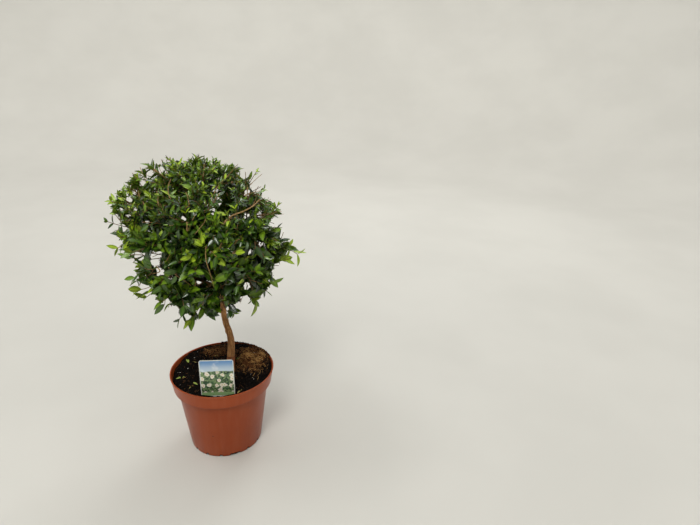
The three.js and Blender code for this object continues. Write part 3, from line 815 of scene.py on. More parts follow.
def addCaughtPeat(random):  # in the drain notches, from the ground up
    notch = np.arange(drain["divisions"])
    wide = notch % drain["wideEvery"] == 0
    width = np.where(wide, drain["archWidth"], drain["notchWidth"])
    inNotch = np.repeat(notch, np.where(wide, peat["inArch"], peat["inNotch"]))
    across = width[inNotch] * random.uniform(-0.5, 0.5, len(inNotch))
    angle = np.radians(drain["firstAzimuth"] + inNotch * 360 / drain["divisions"]) + across / pot["baseRadius"]
    r = pot["baseRadius"] - random.uniform(0.4, 2.8, len(inNotch))
    size = random.uniform(0.35, 0.7, len(inNotch))
    level = size * 1.65 + 2.4 * random.random(len(r)) ** 2
    shape = lumps(random, r * np.cos(angle), r * np.sin(angle), size, 0, level)
    addLumps("caughtPeat", shape, [scrapFinish("wetPeat", (8, 6, 5), (26, 17, 12))])


def addRimCrumbs(random):  # peat spilled onto the rim at the back, in clusters, thickest by the mound
    share = random.random(peat["rimCrumbs"])
    angle = np.radians(blend(peat["rimFrom"], peat["rimTo"], share))
    cluster = grain(together(share * 40, share * 0, share * 0), 3.0, 71)
    strewn = cluster + 0.9 - 1.6 * np.abs(share - 0.45) > 0.15
    angle, share = angle[strewn], share[strewn]
    size = 0.45 + 1.2 * random.random(len(angle)) ** 2
    r = pot["rimRadius"] - pot["wall"] * 0.6 + random.normal(0, 0.55, len(angle)) - 0.5 * size
    inside = bandRadius(pot["height"]) - pot["wall"] - r  # how far past the rim's inner edge
    level = pot["height"] + size * random.uniform(0.15, 0.5, len(angle)) - 0.5 * np.clip(inside, 0, 2)
    shape = lumps(random, r * np.cos(angle), r * np.sin(angle), size, 0, level)
    which = np.where(random.random(len(angle)) < 0.75 * (1 - share), 1, 0)
    addLumps("rimCrumbs", shape, [
        scrapFinish("rimPeat", (14, 10, 8), (44, 30, 20)),
        scrapFinish("rimRoot", (64, 38, 20), (116, 76, 40)),
    ], which)


def strands(random, x, y, heading, length, lift, radius):
    # Thin roots and straws: curves laid on the bed along their headings, bowed aside, their middles lifted, and
    # held inside the wall
    along = together(np.cos(heading), np.sin(heading)) * length[:, None] / 2
    middle = together(x, y)
    bow = together(-along[:, 1], along[:, 0]) * random.uniform(-0.9, 0.9, (len(x), 1))
    spots = [middle - along, middle + bow, middle + along]
    most = peat["outer"] + 1
    spots = [spot * np.minimum(1, most / np.linalg.norm(spot, axis=-1, keepdims=True)) for spot in spots]
    above = [np.full(len(x), 0.1), lift, random.uniform(0.0, 1.0, len(x)) * lift * 1.2]
    levels = [(peatTop(*spot.T) + up)[:, None] for spot, up in zip(spots, above)]
    curves = np.stack([np.concatenate(parts, axis=-1) for parts in zip(spots, levels)], axis=1)
    return tubes(curves, radius, radius * 0.6, 4, 3)


def addFibres(random):  # on the mound, on the patch behind the stem, and loose over the bed
    middle = bearing(peat["moundAzimuth"], 0)[:2] * (peat["moundDistance"] + 4)
    spot = middle + random.normal(0, 1, (peat["fibres"], 2)) * peat["fibreSpread"]
    backMiddle, backSpread = peat["patchFibres"]
    back = backMiddle + random.normal(0, 1, (peat["fibres"] // 4, 2)) * backSpread
    loose = together(*onBed(random, peat["loose"]))
    spot = np.concatenate([spot, back, loose])
    spot = spot[np.linalg.norm(spot, axis=1) < peat["outer"]]
    # On the mound they lie in combed tufts with bare peat between, and elsewhere every way
    mound = moundShare(*spot.T)
    tuft = grain(together(*spot.T, np.zeros(len(spot))), peat["tuft"], 61)
    spot, mound, tuft = (values[(tuft > -0.12) | (mound < 0.4)] for values in (spot, mound, tuft))
    count = len(spot)
    rightward = 0.012 * (spot[:, 0] - middle[0])
    combed = np.radians(peat["combed"]) + 0.9 * tuft + rightward + random.normal(0, 0.28, count)
    heading = np.where((mound > 0.4) & (random.random(count) < 0.8), combed, random.uniform(0, 2 * np.pi, count))
    long = random.random(count) ** 2.2
    length = peat["fibreLength"][0] + peat["fibreLength"][1] * long
    lift = 0.6 + 2.6 * random.random(count) * (0.4 + long)
    radius = peat["fibreRadius"][0] + peat["fibreRadius"][1] * random.random(count)
    points, quads, caps = strands(random, *spot.T, heading, length, lift, radius)
    tone = random.random(count)
    pale = mound * (0.3 + 0.8 * np.clip(tuft, 0, 1) + rightward) + 0.07
    which = np.where(tone < pale, 2, np.where(tone < 0.72, 1, 0))
    finishes = [
        scrapFinish("darkRoot", (50, 34, 24), (84, 58, 38)),
        scrapFinish("brownRoot", (96, 60, 32), (134, 88, 48)),
        scrapFinish("straw", (178, 128, 70), (228, 184, 118)),
    ]
    which = np.concatenate([np.repeat(which, len(quads) // count), np.repeat(which, len(caps) // count)])
    settle(makePiece("peatFibres", points, [quads, caps], finishes, which), "peat")


addBed()
crumbDraws = np.random.default_rng(11)
addCrumbs(crumbDraws)
addCaughtPeat(crumbDraws)
addRimCrumbs(crumbDraws)
addFibres(np.random.default_rng(23))
print("stage: peat bed, crumbs and fibres")


# Label: a printed card on a stake

label = {
    "width": 52.6,
    "cardHeight": 66.0,
    "thick": 0.8,
    "cornerRadius": 4.0,
    "stakeWidth": 16.0,
    "stakeDepth": 26.0,
    "point": 8.0,
    "cardFoot": 3.2,
    "x": 7.3,
    "y": -60.0,
    "clear": 0.8,
    "turn": 6.5,
    "bow": 0.5,  # how far the middle of the card stands proud of its edges
    "border": 1.4,
    "skyFrom": 0.70,  # shares of the height
    "stripTo": 0.12,
    "flower": 8.5,
    "leaf": 2.2,
    "columns": 17,
}


def labelFinish():
    # White flowers, one in most cells of a 2-D cell pattern, on a leafy green, with sky above and a strip below
    finish = Finish("printedCard", IOR=1.5, Coat_Weight=0.25, Coat_Roughness=0.2)
    place = finish.node("ShaderNodeUVMap", {"uv_map": "UVMap"})
    u, v, _ = finish.parts(place)
    inMetres = finish.node("ShaderNodeVectorMath", {"operation": "MULTIPLY"}, {
        0: place, 1: (label["width"] * 0.001, label["cardHeight"] * 0.001, 1)})
    leafy = finish.cells(label["leaf"], "Color", inMetres, voronoi_dimensions="2D")
    patches = finish.node("ShaderNodeTexNoise", None, {"Vector": inMetres, "Scale": 170.0, "Detail": 3.0})
    green = finish.mix(finish.ramp(finish.parts(leafy)[0], 0.2, 0.8), (34, 62, 42), (140, 166, 112))
    green = finish.mix(finish.ramp(patches, 0.45, 0.65) * 0.7, green, (64, 104, 72))
    flowers = finish.cells(label["flower"], "Distance", inMetres, voronoi_dimensions="2D")
    pick = finish.parts(finish.cells(label["flower"], "Color", inMetres, voronoi_dimensions="2D"))[1]
    chosen = finish.ramp(pick, 0.26, 0.3)
    petals = finish.ramp(flowers + (patches - 0.5) * 0.9 - pick * 0.16, 0.36, 0.28) * chosen
    eye = finish.ramp(flowers, 0.12, 0.07) * chosen
    picture = finish.mix(petals, green, (236, 230, 214))
    picture = finish.mix(eye, picture, (206, 180, 72))
    haze = finish.ramp(v, label["skyFrom"], 0.98)
    sky = finish.mix(haze, (196, 214, 226), (96, 144, 196))
    cloud = finish.node("ShaderNodeTexNoise", None, {"Vector": inMetres, "Scale": 60.0, "Detail": 4.0})
    sky = finish.mix(finish.ramp(cloud, 0.52, 0.68) * 0.5, sky, (234, 238, 240))
    skyline = v + (cloud - 0.5) * 0.12 + (u * 9).wave() * 0.012
    picture = finish.mix(finish.ramp(skyline, label["skyFrom"] - 0.01, label["skyFrom"] + 0.01), picture, sky)
    picture = finish.mix(finish.ramp(v, label["stripTo"], label["stripTo"] - 0.012), picture, (150, 188, 128))
    edges = []
    for across, size in ((u, label["width"]), (v, label["cardHeight"])):
        edge = 0.5 - label["border"] / size
        edges.append(finish.ramp((across - 0.5).size(), edge, edge + 0.006))
    border = edges[0].above(edges[1])
    plain = finish.mix(finish.patches(14, 3, 0.4, 0.7) * 0.4, (226, 230, 222), (206, 208, 198))
    colour = finish.mix(border, picture, plain)
    grime = finish.patches(2.4, 5, 0.52, 0.7) * finish.ramp(v, 0.1, -0.01)
    colour = finish.mix(grime * 0.8, colour, (48, 36, 28))
    rough = 0.3 + finish.noise(8, 3) * 0.15 + grime * 0.4
    return finish.wire(Base_Color=colour, Roughness=rough, Normal=finish.bump(finish.noise(0.8, 2), 0.02, 0.5))


def cardHalfWidth(v):
    # Half the width at a height: the stake's point, the stake, the card, and its rounded top corners
    half, stake, r, top = label["width"] / 2, label["stakeWidth"] / 2, label["cornerRadius"], label["cardHeight"]
    point = stake * np.clip((v + label["stakeDepth"]) / label["point"], 0.02, 1)
    card = blend(stake, half, np.clip(v / label["cardFoot"], 0, 1))
    over = np.clip(v - (top - r), 0, r)
    return np.where(v < 0, point, card - r + np.sqrt(np.maximum(r * r - over * over, 1e-4)))


def addLabel():
    # Front and back are grids over the height v and a share of the half width there, each half the thickness from
    # the card's bowed middle and less near its edges, where they meet in a thin rounded rim
    heights = np.concatenate([
        np.linspace(-label["stakeDepth"], label["point"] - label["stakeDepth"], 5),
        [-0.01], np.linspace(0, label["cardFoot"], 4), np.linspace(4, 61, 26),
        label["cardHeight"] - label["cornerRadius"] * (1 - np.sin(np.linspace(0.05, 1, 9) * np.pi / 2))])
    half = cardHalfWidth(heights)
    columns = label["columns"]
    u = half[:, None] * np.linspace(-1, 1, columns)
    v = np.repeat(heights[:, None], columns, 1)
    bow = label["bow"] * (1 - (u / (label["width"] / 2)) ** 2) * np.clip(v / 20, 0, 1)
    inner = 1 - np.clip((half[:, None] - np.abs(u)) / 0.5, 0, 1)
    inner = np.maximum(inner, 1 - np.clip((label["cardHeight"] - v) / 0.5, 0, 1))
    skin = label["thick"] / 2 * (1 - 0.45 * inner ** 2)
    front = together(u, -bow - skin, v)
    back = together(u, -bow + skin, v)
    rows, ring = len(heights), 2 * columns
    points = np.concatenate([front, back[:, ::-1]], axis=1).reshape(-1, 3)
    # The foot and the top are closed by quads from front to back
    k = np.arange(columns - 1)
    foot = together(k, k + 1, ring - 2 - k, ring - 1 - k)
    quads = np.concatenate([gridFaces(rows, ring), foot[:, ::-1], foot + (rows - 1) * ring])
    uv = together(points[:, 0] / label["width"] + 0.5, points[:, 2] / label["cardHeight"])
    behind = np.tile(np.arange(ring) >= columns, rows)
    uv[behind, 0] = 1.2  # past the picture's edge: the back is plain
    angle = np.full(len(points), math.radians(label["turn"]))
    level = float(soilLevel(np.array(label["x"]), np.array(label["y"]))) + label["clear"]
    points = turned(points, upward, angle) + [label["x"], label["y"], level]
    settle(makePiece("pictureLabel", points, [quads], [labelFinish()], uv=uv, sharp=40), "card", "label")


addLabel()
print("stage: label")


# Trunk and boughs: the source's routes, with the relief of bark

trunk = {
    "foot": 125.4,
    "route": [
        [11.5, 2, 122], [14.2, 1, 147], [16.9, 0, 181], [15.6, 0, 202], [9.6, 1, 223],
        [6.4, 2, 258], [6, 1, 285], [7.6, -1, 312], [5.5, 0, 337],
    ],
    "footRadius": 7.0,
    "tipRadius": 2.5,
    "flare": 2.2,
    "flareReach": 0.06,
    "rings": 300,
    "around": 56,
    # Knots and scars: height, azimuth, how far they stand out, and their spread up and round
    "knots": [
        (206, 186, 1.5, 4.5, 30), (226, 20, 0.8, 5, 35), (152, -70, -0.7, 4, 26), (243, 172, 1.2, 3.5, 30),
        (183, 60, 0.7, 4, 30), (262, -60, 0.9, 3, 34), (168, 200, 0.5, 6, 30), (138, 130, 0.8, 5, 30),
    ],
    "scarHeight": 151.0,  # where the bark is reddish, with a dark ring above it
    "ringHeight": 158.0,
    "tan": (198, 144, 92),
    "brown": (130, 86, 48),
    "crack": (64, 40, 24),
    "scar": (140, 66, 44),
}
bough = {
    "siteDistance": 72.0,
    "reach": 0.85,
    "baseRadius": 2.7,
    "tipRadius": 1.7,
    "lift": 0.22,
    "bend": 0.45,
    "around": 12,
    "steps": 36,
}


def stemLine(route, samples=60):
    # The smooth curve through the route's points: a cubic between each two, whose headings at its ends come from
    # the points about them, weighed by the square roots of their distances. Also each point's share of the length.
    points = np.array(route, float)
    points = np.concatenate([[2 * points[0] - points[1]], points, [2 * points[-1] - points[-2]]])
    pieces = []
    t = np.linspace(0, 1, samples, endpoint=False)[:, None]
    for a, b, c, d in zip(points, points[1:], points[2:], points[3:]):
        first, second, third = (max(np.linalg.norm(q - p) ** 0.5, 1e-4) for p, q in ((a, b), (b, c), (c, d)))
        out = ((b - a) / first - (c - a) / (first + second) + (c - b) / second) * second
        into = ((c - b) / second - (d - b) / (second + third) + (d - c) / third) * second
        pieces.append(b + out * t + (3 * (c - b) - 2 * out - into) * t ** 2 + (2 * (b - c) + out + into) * t ** 3)
    line = np.concatenate([*pieces, points[-2:-1]])
    steps = np.linalg.norm(np.diff(line, axis=0), axis=1)
    return line, np.concatenate([[0], np.cumsum(steps)]) / steps.sum()


trunkLine, trunkShare = stemLine(trunk["route"])


def trunkPoint(share):  # the point of the stem at a share of its length
    return np.stack([np.interp(share, trunkShare, trunkLine[:, axis]) for axis in range(3)], axis=-1)


def trunkHeading(share):
    low, high = np.clip(np.asarray(share) - 0.004, 0, 1), np.clip(np.asarray(share) + 0.004, 0, 1)
    return unit(trunkPoint(high) - trunkPoint(low))


def barkFinish():
    finish = Finish("myrtleBark", IOR=1.45, Specular_IOR_Level=0.25)
    z = finish.parts(finish.place)[2]
    streak = finish.noise(2.6, 5, (1, 1, 0.13), 0.6)
    fine = finish.noise(0.8, 4, (1, 1, 0.2))
    patch = finish.patches(16, 4, 0.38, 0.66, (1, 1, 0.5))
    colour = finish.mix(finish.ramp(streak, 0.36, 0.64), trunk["brown"], trunk["tan"])
    colour = finish.mix(patch * 0.4, colour, (140, 98, 60))
    crack = finish.patches(1.7, 4, 0.43, 0.36, (1, 1, 0.09))
    colour = finish.mix(crack * 0.75, colour, trunk["crack"])
    fromScar, fromRing = [(z - trunk[key] * 0.001).size() for key in ("scarHeight", "ringHeight")]
    scar = finish.ramp(fromScar + (finish.noise(6, 4) - 0.5) * 0.014, 0.012, 0.004)
    ring = finish.ramp(fromRing + (finish.noise(5, 3) - 0.5) * 0.004, 0.0014, 0.0006)
    colour = finish.mix(scar * 0.6, colour, trunk["scar"])
    colour = finish.mix(ring * 0.7, colour, (74, 44, 32))
    damp = finish.ramp(z + (finish.noise(4, 3) - 0.5) * 0.008, 0.136, 0.124)
    colour = finish.mix(damp * 0.6, colour, (70, 46, 32))
    relief = streak * 0.8 + fine * 0.35 - crack * 0.9
    return finish.wire(Base_Color=colour, Roughness=0.62 + fine * 0.25, Normal=finish.bump(relief, 0.5, 0.9))


def addTrunk(finish):
    # The route swept; radius = taper + flare, times ridges that run up the stem, plus knots
    share = np.linspace(0, 1, trunk["rings"])
    line = trunkPoint(share)
    angle = 2 * np.pi * np.arange(trunk["around"]) / trunk["around"]
    taper = (trunk["footRadius"] - trunk["tipRadius"]) * (1 - share) ** 1.1
    radius = trunk["tipRadius"] + taper + trunk["flare"] * np.exp(-share / trunk["flareReach"])
    around = together(np.cos(angle), np.sin(angle), np.zeros_like(angle))[None] * 7
    height = upward * line[:, None, 2:]
    ridges = 0.055 * grain(around + height * 0.16, 2.6, 31) + 0.03 * grain(around + height * 0.16, 1.1, 32)
    radius = radius[:, None] * (1 + ridges + 0.05 * grain(around + height, 9, 33))
    for level, azimuth, out, tall, wide in trunk["knots"]:
        turn = (np.degrees(angle) - azimuth + 180) % 360 - 180
        radius = radius + out * np.exp(-((line[:, 2:] - level) / tall) ** 2) * np.exp(-(turn / wide) ** 2)
    points, ends, faces = sweep(line, radius, trunk["around"])
    points[:, 2] = np.maximum(points[:, 2], trunk["foot"] - 1.2)
    ends[0] = points[:trunk["around"]].mean(axis=0)
    settle(makePiece("barkTrunk", np.concatenate([points, ends]), faces, [finish], sharp=70), "bark", "trunk")


bark = barkFinish()
addTrunk(bark)


# The crown: where the masses sit and how far the clipped outline stands out, as in the source

crown = {
    "centre": np.array([-17.0, 0.0, 367.0]),
    "radius": 125.0,
    "swells": [  # azimuth, elevation, height, spread
        (0, 86, -7, 28), (171, 54, 11, 16), (-171, 24, 11, 18), (-152, -32, -40, 21),
        (-5, -48, 8, 20), (62, 8, 6, 30), (118, -25, -7, 26),
    ],
    "longShoots": [  # azimuth, elevation, reach
        (14, -9, 148), (-148, -38, 116), (36, 44, 134), (110, 70, 129), (-172, 20, 140), (95, -12, 138),
    ],
    "tips": 215,
    "tipInset": 19.0,
    "tipInsetSpread": 10.0,
    "longTip": 29.7,  # from the end of a long shoot to its coarse tip
    "cellClear": 2.0,
}
masses = [  # name, azimuth, elevation, share of the stem where its bough parts
    ("top", 0, 90, 1.0),
    ("upper_front", -90, 22, 0.9), ("upper_right", -18, 22, 0.84), ("upper_back_right", 54, 22, 0.93),
    ("upper_back_left", 126, 22, 0.8), ("upper_left", 198, 22, 0.87),
    ("lower_front_right", -54, -34, 0.62), ("lower_right_back", 18, -34, 0.7), ("lower_back", 90, -34, 0.56),
    ("lower_back_left", 162, -34, 0.66), ("lower_front_left", 234, -34, 0.74),
]
sites = np.array([crown["centre"] + bearing(a, e) * bough["siteDistance"] for _, a, e, _ in masses])
twig = {
    "tipRadius": 0.62,
    "thickening": 0.42,
    "mostRadius": 2.0,
    "forkShare": 0.2,
    "forkSpread": 0.12,
    "follow": 0.5,
    "wander": 4.0,
}


def outward(points):  # directions from the ball's middle
    return unit(points - crown["centre"])


def distance(points):  # from the ball's middle
    return np.linalg.norm(points - crown["centre"], axis=-1)


def outline(direction):  # the radius, plus each swell's height·exp(-(angle from its middle / spread)²)
    reach = np.full(direction.shape[:-1], crown["radius"])
    for azimuth, elevation, height, spread in crown["swells"]:
        angle = np.degrees(np.arccos(np.clip(direction @ bearing(azimuth, elevation), -1, 1))) / spread
        reach = reach + height * np.exp(-angle ** 2)
    return reach


def arc(start, heading, end):  # a curve that leaves its start along a heading
    reach = np.linalg.norm(end - start, axis=-1, keepdims=True) * bough["bend"]
    return np.stack([start, start + heading * reach, end], axis=-2)


def boughCurves():  # from the stem, rising a little at first, to most of the way to each mass's middle
    curves = []
    for index, (_, _, _, share) in enumerate(masses):
        up = trunkHeading(share)
        start = trunkPoint(share)
        end = blend(start, sites[index], bough["reach"])
        curves.append(arc(start, unit(unit(end - start) + up * bough["lift"]), end))
    return np.array(curves)


def boughRelief(points, share):  # a collar at the trunk, then lumps and fine ridges
    collar = 0.55 * np.exp(-share / 0.06)
    return 1 + collar + 0.1 * grain(points, 5, 41) + 0.06 * grain(points, 1.6, 42)


boughs = boughCurves()
points, quads, caps = tubes(
    boughs, bough["baseRadius"], bough["tipRadius"], bough["steps"], bough["around"], boughRelief)
settle(makePiece("barkBoughs", points, [quads, caps], [bark], sharp=70), "bark",
       *["bough_" + mass[0] for mass in masses])
print("stage: trunk and boughs")


def evenDirections(count):
    # Directions spread over a ball: equal steps down its axis, each turned on by the golden angle
    golden = math.pi * (3 - math.sqrt(5))
    i = np.arange(count)
    z = 1 - (2 * i + 1) / count
    level = np.sqrt(1 - z * z)
    return together(np.cos(i * golden) * level, np.sin(i * golden) * level, z)


def coarseTips():
    # The ends of the coarse twigs: even directions, a little inside the outline, then the long shoots
    even = evenDirections(crown["tips"])
    coarse = outline(even) - crown["tipInset"] - crown["tipInsetSpread"] * chance(np.arange(crown["tips"]), 1)
    azimuth, elevation, reach = np.array(crown["longShoots"], float).T
    direction = np.concatenate([even, bearing(azimuth, elevation)])
    return crown["centre"] + direction * np.concatenate([coarse, reach - crown["longTip"]])[:, None]


def fork(start, heading, targets, key, found):
    # The source's rule: a limb runs a little towards its targets, then the group parts round its two farthest
    mean = targets.mean(axis=0)
    radius = min(twig["tipRadius"] * len(targets) ** twig["thickening"] * 1.35, twig["mostRadius"])
    if len(targets) == 1:
        found.append((arc(start, heading, mean), radius, twig["tipRadius"], True, key))
        return
    share = twig["forkShare"] + swing(twig["forkSpread"], key, 2)
    shift = np.array([chance(key, 3) - 0.5, chance(key, 4) - 0.5, chance(key, 5) - 0.3])
    end = blend(start, mean, share) + twig["wander"] * shift
    line = arc(start, heading, end)
    found.append((line, radius, radius * 0.85, False, key))
    first = targets[np.argmax(np.linalg.norm(targets - mean, axis=1))]
    second = targets[np.argmax(np.linalg.norm(targets - first, axis=1))]
    near = np.linalg.norm(targets - first, axis=1) <= np.linalg.norm(targets - second, axis=1)
    ahead = unit(line[2] - line[1])
    for i, group in enumerate((targets[near], targets[~near])):
        aim = unit(group.mean(axis=0) - end)
        fork(end, unit(blend(aim, ahead, twig["follow"])), group, key * 2 + 1 + i, found)


def growLimbs():
    # Every limb and coarse tip of the crown, with the mass that owns it
    places = coarseTips()
    owner = np.argmin(np.linalg.norm(places[:, None] - sites[None], axis=-1), axis=1)
    limbs = []
    for index in range(len(masses)):
        across = np.delete(sites, index, axis=0) - sites[index]
        half = np.linalg.norm(across, axis=1) / 2 - crown["cellClear"]
        targets = places[owner == index]
        inside = np.all((targets - sites[index]) @ unit(across).T < half, axis=1)
        found = []
        fork(boughs[index, 2], unit(boughs[index, 2] - boughs[index, 1]), targets[inside], index + 1, found)
        limbs += [(index, *limb) for limb in found]
    return limbs


limbs = growLimbs()
limbMass = np.array([limb[0] for limb in limbs])
limbCurves = np.array([limb[1] for limb in limbs])
limbRadius = np.array([limb[2:4] for limb in limbs], float)
limbTip = np.array([limb[4] for limb in limbs])
limbKey = np.array([limb[5] for limb in limbs], float)
print("stage: limbs grown,", len(limbs), "of which tips", int(limbTip.sum()))


# Fine growth: shoots on the coarse tips, and leaves on the shoots

growth = {  # millimetres and degrees; a pair is for low in the ball and for its top, where no comment says other
    "fineInset": 11.0,  # from the outline to the end of a leading shoot, whose leaves reach the rest
    "fineInsetSpread": 8.0,
    "fineInsetShare": (1.0, 0.62),
    "sway": 9.0,
    "sideFrom": 0.28,  # share of a leader where its side shoots begin, and where they end
    "sideTo": 0.93,
    "sidePairs": 5,
    "innerPairs": 4,  # pairs of side shoots on a limb inside the ball
    "innerKept": 0.6,
    "sideLength": (26.0, 16.0),
    "sideSizes": (0.62, 1.37),  # the span of their sizes, as shares of that length
    "sideTurn": 60.0,  # round its leader, by the leader's own chance and by each shoot's
    "sideTurnSpread": 40.0,
    "sideSplay": (58.0, 40.0),
    "sideSplaySpread": 24.0,
    "sideKept": (0.46, 0.8),
    "sideLift": (0.35, 0.6),  # how far a side shoot turns up, and out from the ball's middle
    "sideOut": 0.55,
    "sideInset": (11.0, 6.0),  # from the outline to its end
    "leastPull": 0.9,  # one that would be drawn in to less than this share of its distance isn't grown
    "leafLength": (23.5, 13.4),
    "leafWidth": (0.45, 0.34),
    "leafSizes": (0.72, 1.22),  # spans, as shares of the length: leaf by leaf, and for a whole spray
    "sprayLeafSizes": (0.72, 1.28),
    "leafWidths": (0.82, 1.18),  # the span, as shares of the width
    "youngLess": 0.3,  # how much shorter the youngest leaves are, and how much longer those of an edge spray
    "edgeMore": 0.28,
    "leafFold": (0.1, 0.6),  # spans
    "leafCurl": (-0.06, 0.2),
    "pairStep": (6.8, 4.1),
    "pairSteps": (0.85, 1.15),  # the span, as shares of that step
    "firstPair": 0.8,  # from a shoot's tip, and further back on one with a cut end
    "cutBack": 5.5,
    "pairs": 4,
    "morePairs": 3,  # further ones on a leader
    "leafFrom": 0.16,  # share of a shoot where its leaves begin
    "leafTurn": 90.0,
    "leafTurnSpread": 46.0,
    "leafSplay": 60.0,
    "leafSplaySpread": 40.0,
    "leafLift": (0.22, -0.08),
    "leafRoll": 85.0,
    "cutEnds": 0.5,  # share of the shoots near the top that end in a bare cut
    "edgeInset": 7.0,  # from the tip of an edge spray's leaves to the end of its shoot
    "fillTries": 500,
    "fillAngle": 7.5,  # degrees from the nearest end past which a direction gets a shoot of its own
    "acrossGap": 0.25,  # share of the leaders across a large gap that stay
    "largeGap": 3.0,
    "gapGrow": 0.09,  # pixels by which a gap grows for each millimetre of a leaf, and one for the pale twig
    "twigGapGrow": 0.05,
    "outerShare": 0.84,  # share of the ball's radius past which a leaf can hide that twig
    "leaderRadius": (0.85, 0.42),  # at the root and at the tip
    "shootRadius": (0.5, 0.28),
}
edgeUse = 0.71  # the end of an edge spray's key, before its number in thousandths
# Where sky shows through the ball: x, y and radius in pixels, as in the other lists of places below
skyGaps = [
    (125, 266, 7), (146, 287, 3.6), (151, 303, 3.6), (170, 311, 2.6), (168, 301, 2.2), (160, 272, 4.0),
    (155, 263, 3.0), (154, 255.5, 2.4), (160, 254, 2.4), (139, 254.5, 2.4), (170, 277, 2), (176, 309, 1.9),
    (199, 311, 1.6), (188, 316, 1.6), (199, 282, 1.5), (209, 283.5, 1.9), (129, 200, 2.3), (135.5, 192, 1.9),
    (142, 183.5, 1.7), (148, 222.5, 1.6), (117, 219.5, 2.3), (124.5, 228, 2.4), (114, 228, 1.9), (117, 238.5, 1.8),
    (122, 209, 1.5), (150, 174, 1.7), (129, 216, 1.5),
    (115, 244.5, 1.8), (135.5, 209.5, 1.2), (161, 170, 1.4), (185, 217.5, 1.8),
    (257, 186.5, 5.0), (266, 195, 3.6), (244, 174, 3.6), (252.5, 180, 2.4), (247, 193, 2.4), (273.5, 222.5, 3.2),
    (259, 215, 1.8), (246.5, 215, 2.0), (282, 235.5, 2.0), (280, 220, 2.2),
    (262, 245, 2), (250, 252, 1.5), (246.5, 286, 3), (245.5, 298.5, 2.4), (238.5, 306, 2.6), (274, 272.5, 2),
    (277, 265.5, 1.9), (267, 303, 3), (275, 292, 3.2),
]
# Where the stem shows among the leaves, and where the pale twig does
stemShows = [(221, 287, 3.0), (221, 296, 3.6), (222, 305, 4.0), (224, 312, 3.5)]
twigShows = [
    (226, 221, 2), (231, 217, 2), (236, 214.5, 2), (241, 212.5, 2), (246, 210, 2), (252, 206.5, 2), (257, 202, 2),
]
# Bare twigs that show in front: pixels along each, the share of the way out to the ball's face, and the radius
bareTwigs = [
    ([(221, 226), (230, 217), (244, 211), (253, 206), (260, 199)], 0.9, 1.2),
    ([(215, 191), (227, 177), (238, 164)], 0.88, 0.5), ([(243, 196), (255, 192), (267, 190)], 0.88, 0.45),
    ([(248, 188), (253, 182), (262, 174)], 0.86, 0.5), ([(256, 228), (261, 219), (271, 212)], 0.88, 0.45),
    ([(234, 245), (239, 238), (247, 232)], 0.9, 0.7), ([(231, 249), (230, 240), (228, 234)], 0.88, 0.45),
    ([(269, 218), (277, 215), (284, 214)], 0.9, 0.4),
    ([(206, 247), (206, 260), (210, 273), (214, 287)], 0.97, 0.55),
    ([(202, 259), (198, 265), (194, 271)], 0.93, 0.4),
    ([(195, 290), (189, 284), (177, 276), (168, 267)], 0.88, 0.6),
    ([(195, 291), (195, 286), (196, 281)], 0.9, 0.45),
    ([(160, 271), (149, 275), (140, 284), (133, 292)], 0.84, 0.6),
    ([(149, 208), (141, 199), (137, 187)], 0.86, 0.55), ([(159, 206), (158, 198), (157, 191)], 0.9, 0.5),
    ([(171, 200), (168, 187), (171, 179)], 0.9, 0.5), ([(189, 205), (188, 199), (186, 192)], 0.92, 0.5),
    ([(187, 231), (187, 226), (187, 222)], 0.94, 0.8), ([(205, 221), (200, 228), (195, 234)], 0.93, 0.45),
    ([(203, 176), (204, 170), (204, 164)], 0.92, 0.45), ([(245, 275), (250, 278), (256, 282)], 0.87, 0.6),
    ([(263, 260), (273, 253), (284, 254)], 0.86, 0.6), ([(220, 302), (223, 303), (227, 304)], 0.7, 0.9),
]
# Sprays where the photo shows them: the pixels of their tips round the ball's edge, and on its face with the share
# of the way out to it
edgeSprays = [
    (130, 281), (133, 284), (137, 293), (143, 301), (157, 306), (166, 312), (178, 324), (190, 325), (197, 322),
    (106, 199), (108, 207), (110, 213), (118, 194), (124, 186), (130, 177), (111, 236), (112, 249), (119, 257),
    (199, 151), (170, 161), (177, 160), (144, 162), (232, 162), (240, 165), (248, 168), (253, 171), (264, 190),
    (282, 204), (288, 232), (302, 255), (293, 260), (279, 268), (259, 306),
]
faceSprays = [
    (152, 282, 0.9), (157, 293, 0.92), (162, 302, 0.96), (150, 275, 0.95), (172, 301, 0.95), (176, 296, 0.96),
    (184, 306, 0.98), (226, 236, 0.97), (234, 228, 0.96), (241, 241, 0.98), (222, 247, 0.97), (236, 253, 0.97),
    (229, 221, 0.95), (218, 229, 0.96), (247, 229, 0.96), (213, 240, 0.98),
]


def sizeShare(points):  # 0 low in the ball, 1 at its top, where the leaves are finest
    return smooth((points[..., 2] - crown["centre"][2]) / crown["radius"], -0.35, 0.85)


focal = camera["lens"] / camera["sensor"] * camera["frame"][0]  # in pixels
middleX, middleY = camera["frame"][0] / 2, camera["frame"][1] / 2


def seenAt(points):  # the pixel at which a point shows
    across, up, ahead = cameraAxes()
    away = np.asarray(points) - np.array(camera["place"]) * 1000
    depth = away @ ahead
    return middleX + focal * (away @ across) / depth, middleY - focal * (away @ up) / depth


def onBall(x, y, share):
    # The point that shows at a pixel, this share of the way from the ball's middle to its face; past the ball's
    # edge it is the point of the pixel's line that is nearest to the middle
    across, up, ahead = cameraAxes()
    ray = unit(ahead + across * ((x - middleX) / focal) - up * ((y - middleY) / focal))
    eye = np.array(camera["place"]) * 1000
    along = (crown["centre"] - eye) @ ray
    away = np.linalg.norm(eye + ray * along - crown["centre"])
    return eye + ray * (along - max((crown["radius"] * share) ** 2 - away ** 2, 0) ** 0.5)


def inGap(points, grow=0.0, gaps=skyGaps):  # whether points show inside any of the gaps, grown by so many pixels
    x, y = seenAt(points)
    return np.any([np.hypot(x - gx, y - gy) < r + grow for gx, gy, r in gaps], axis=0)


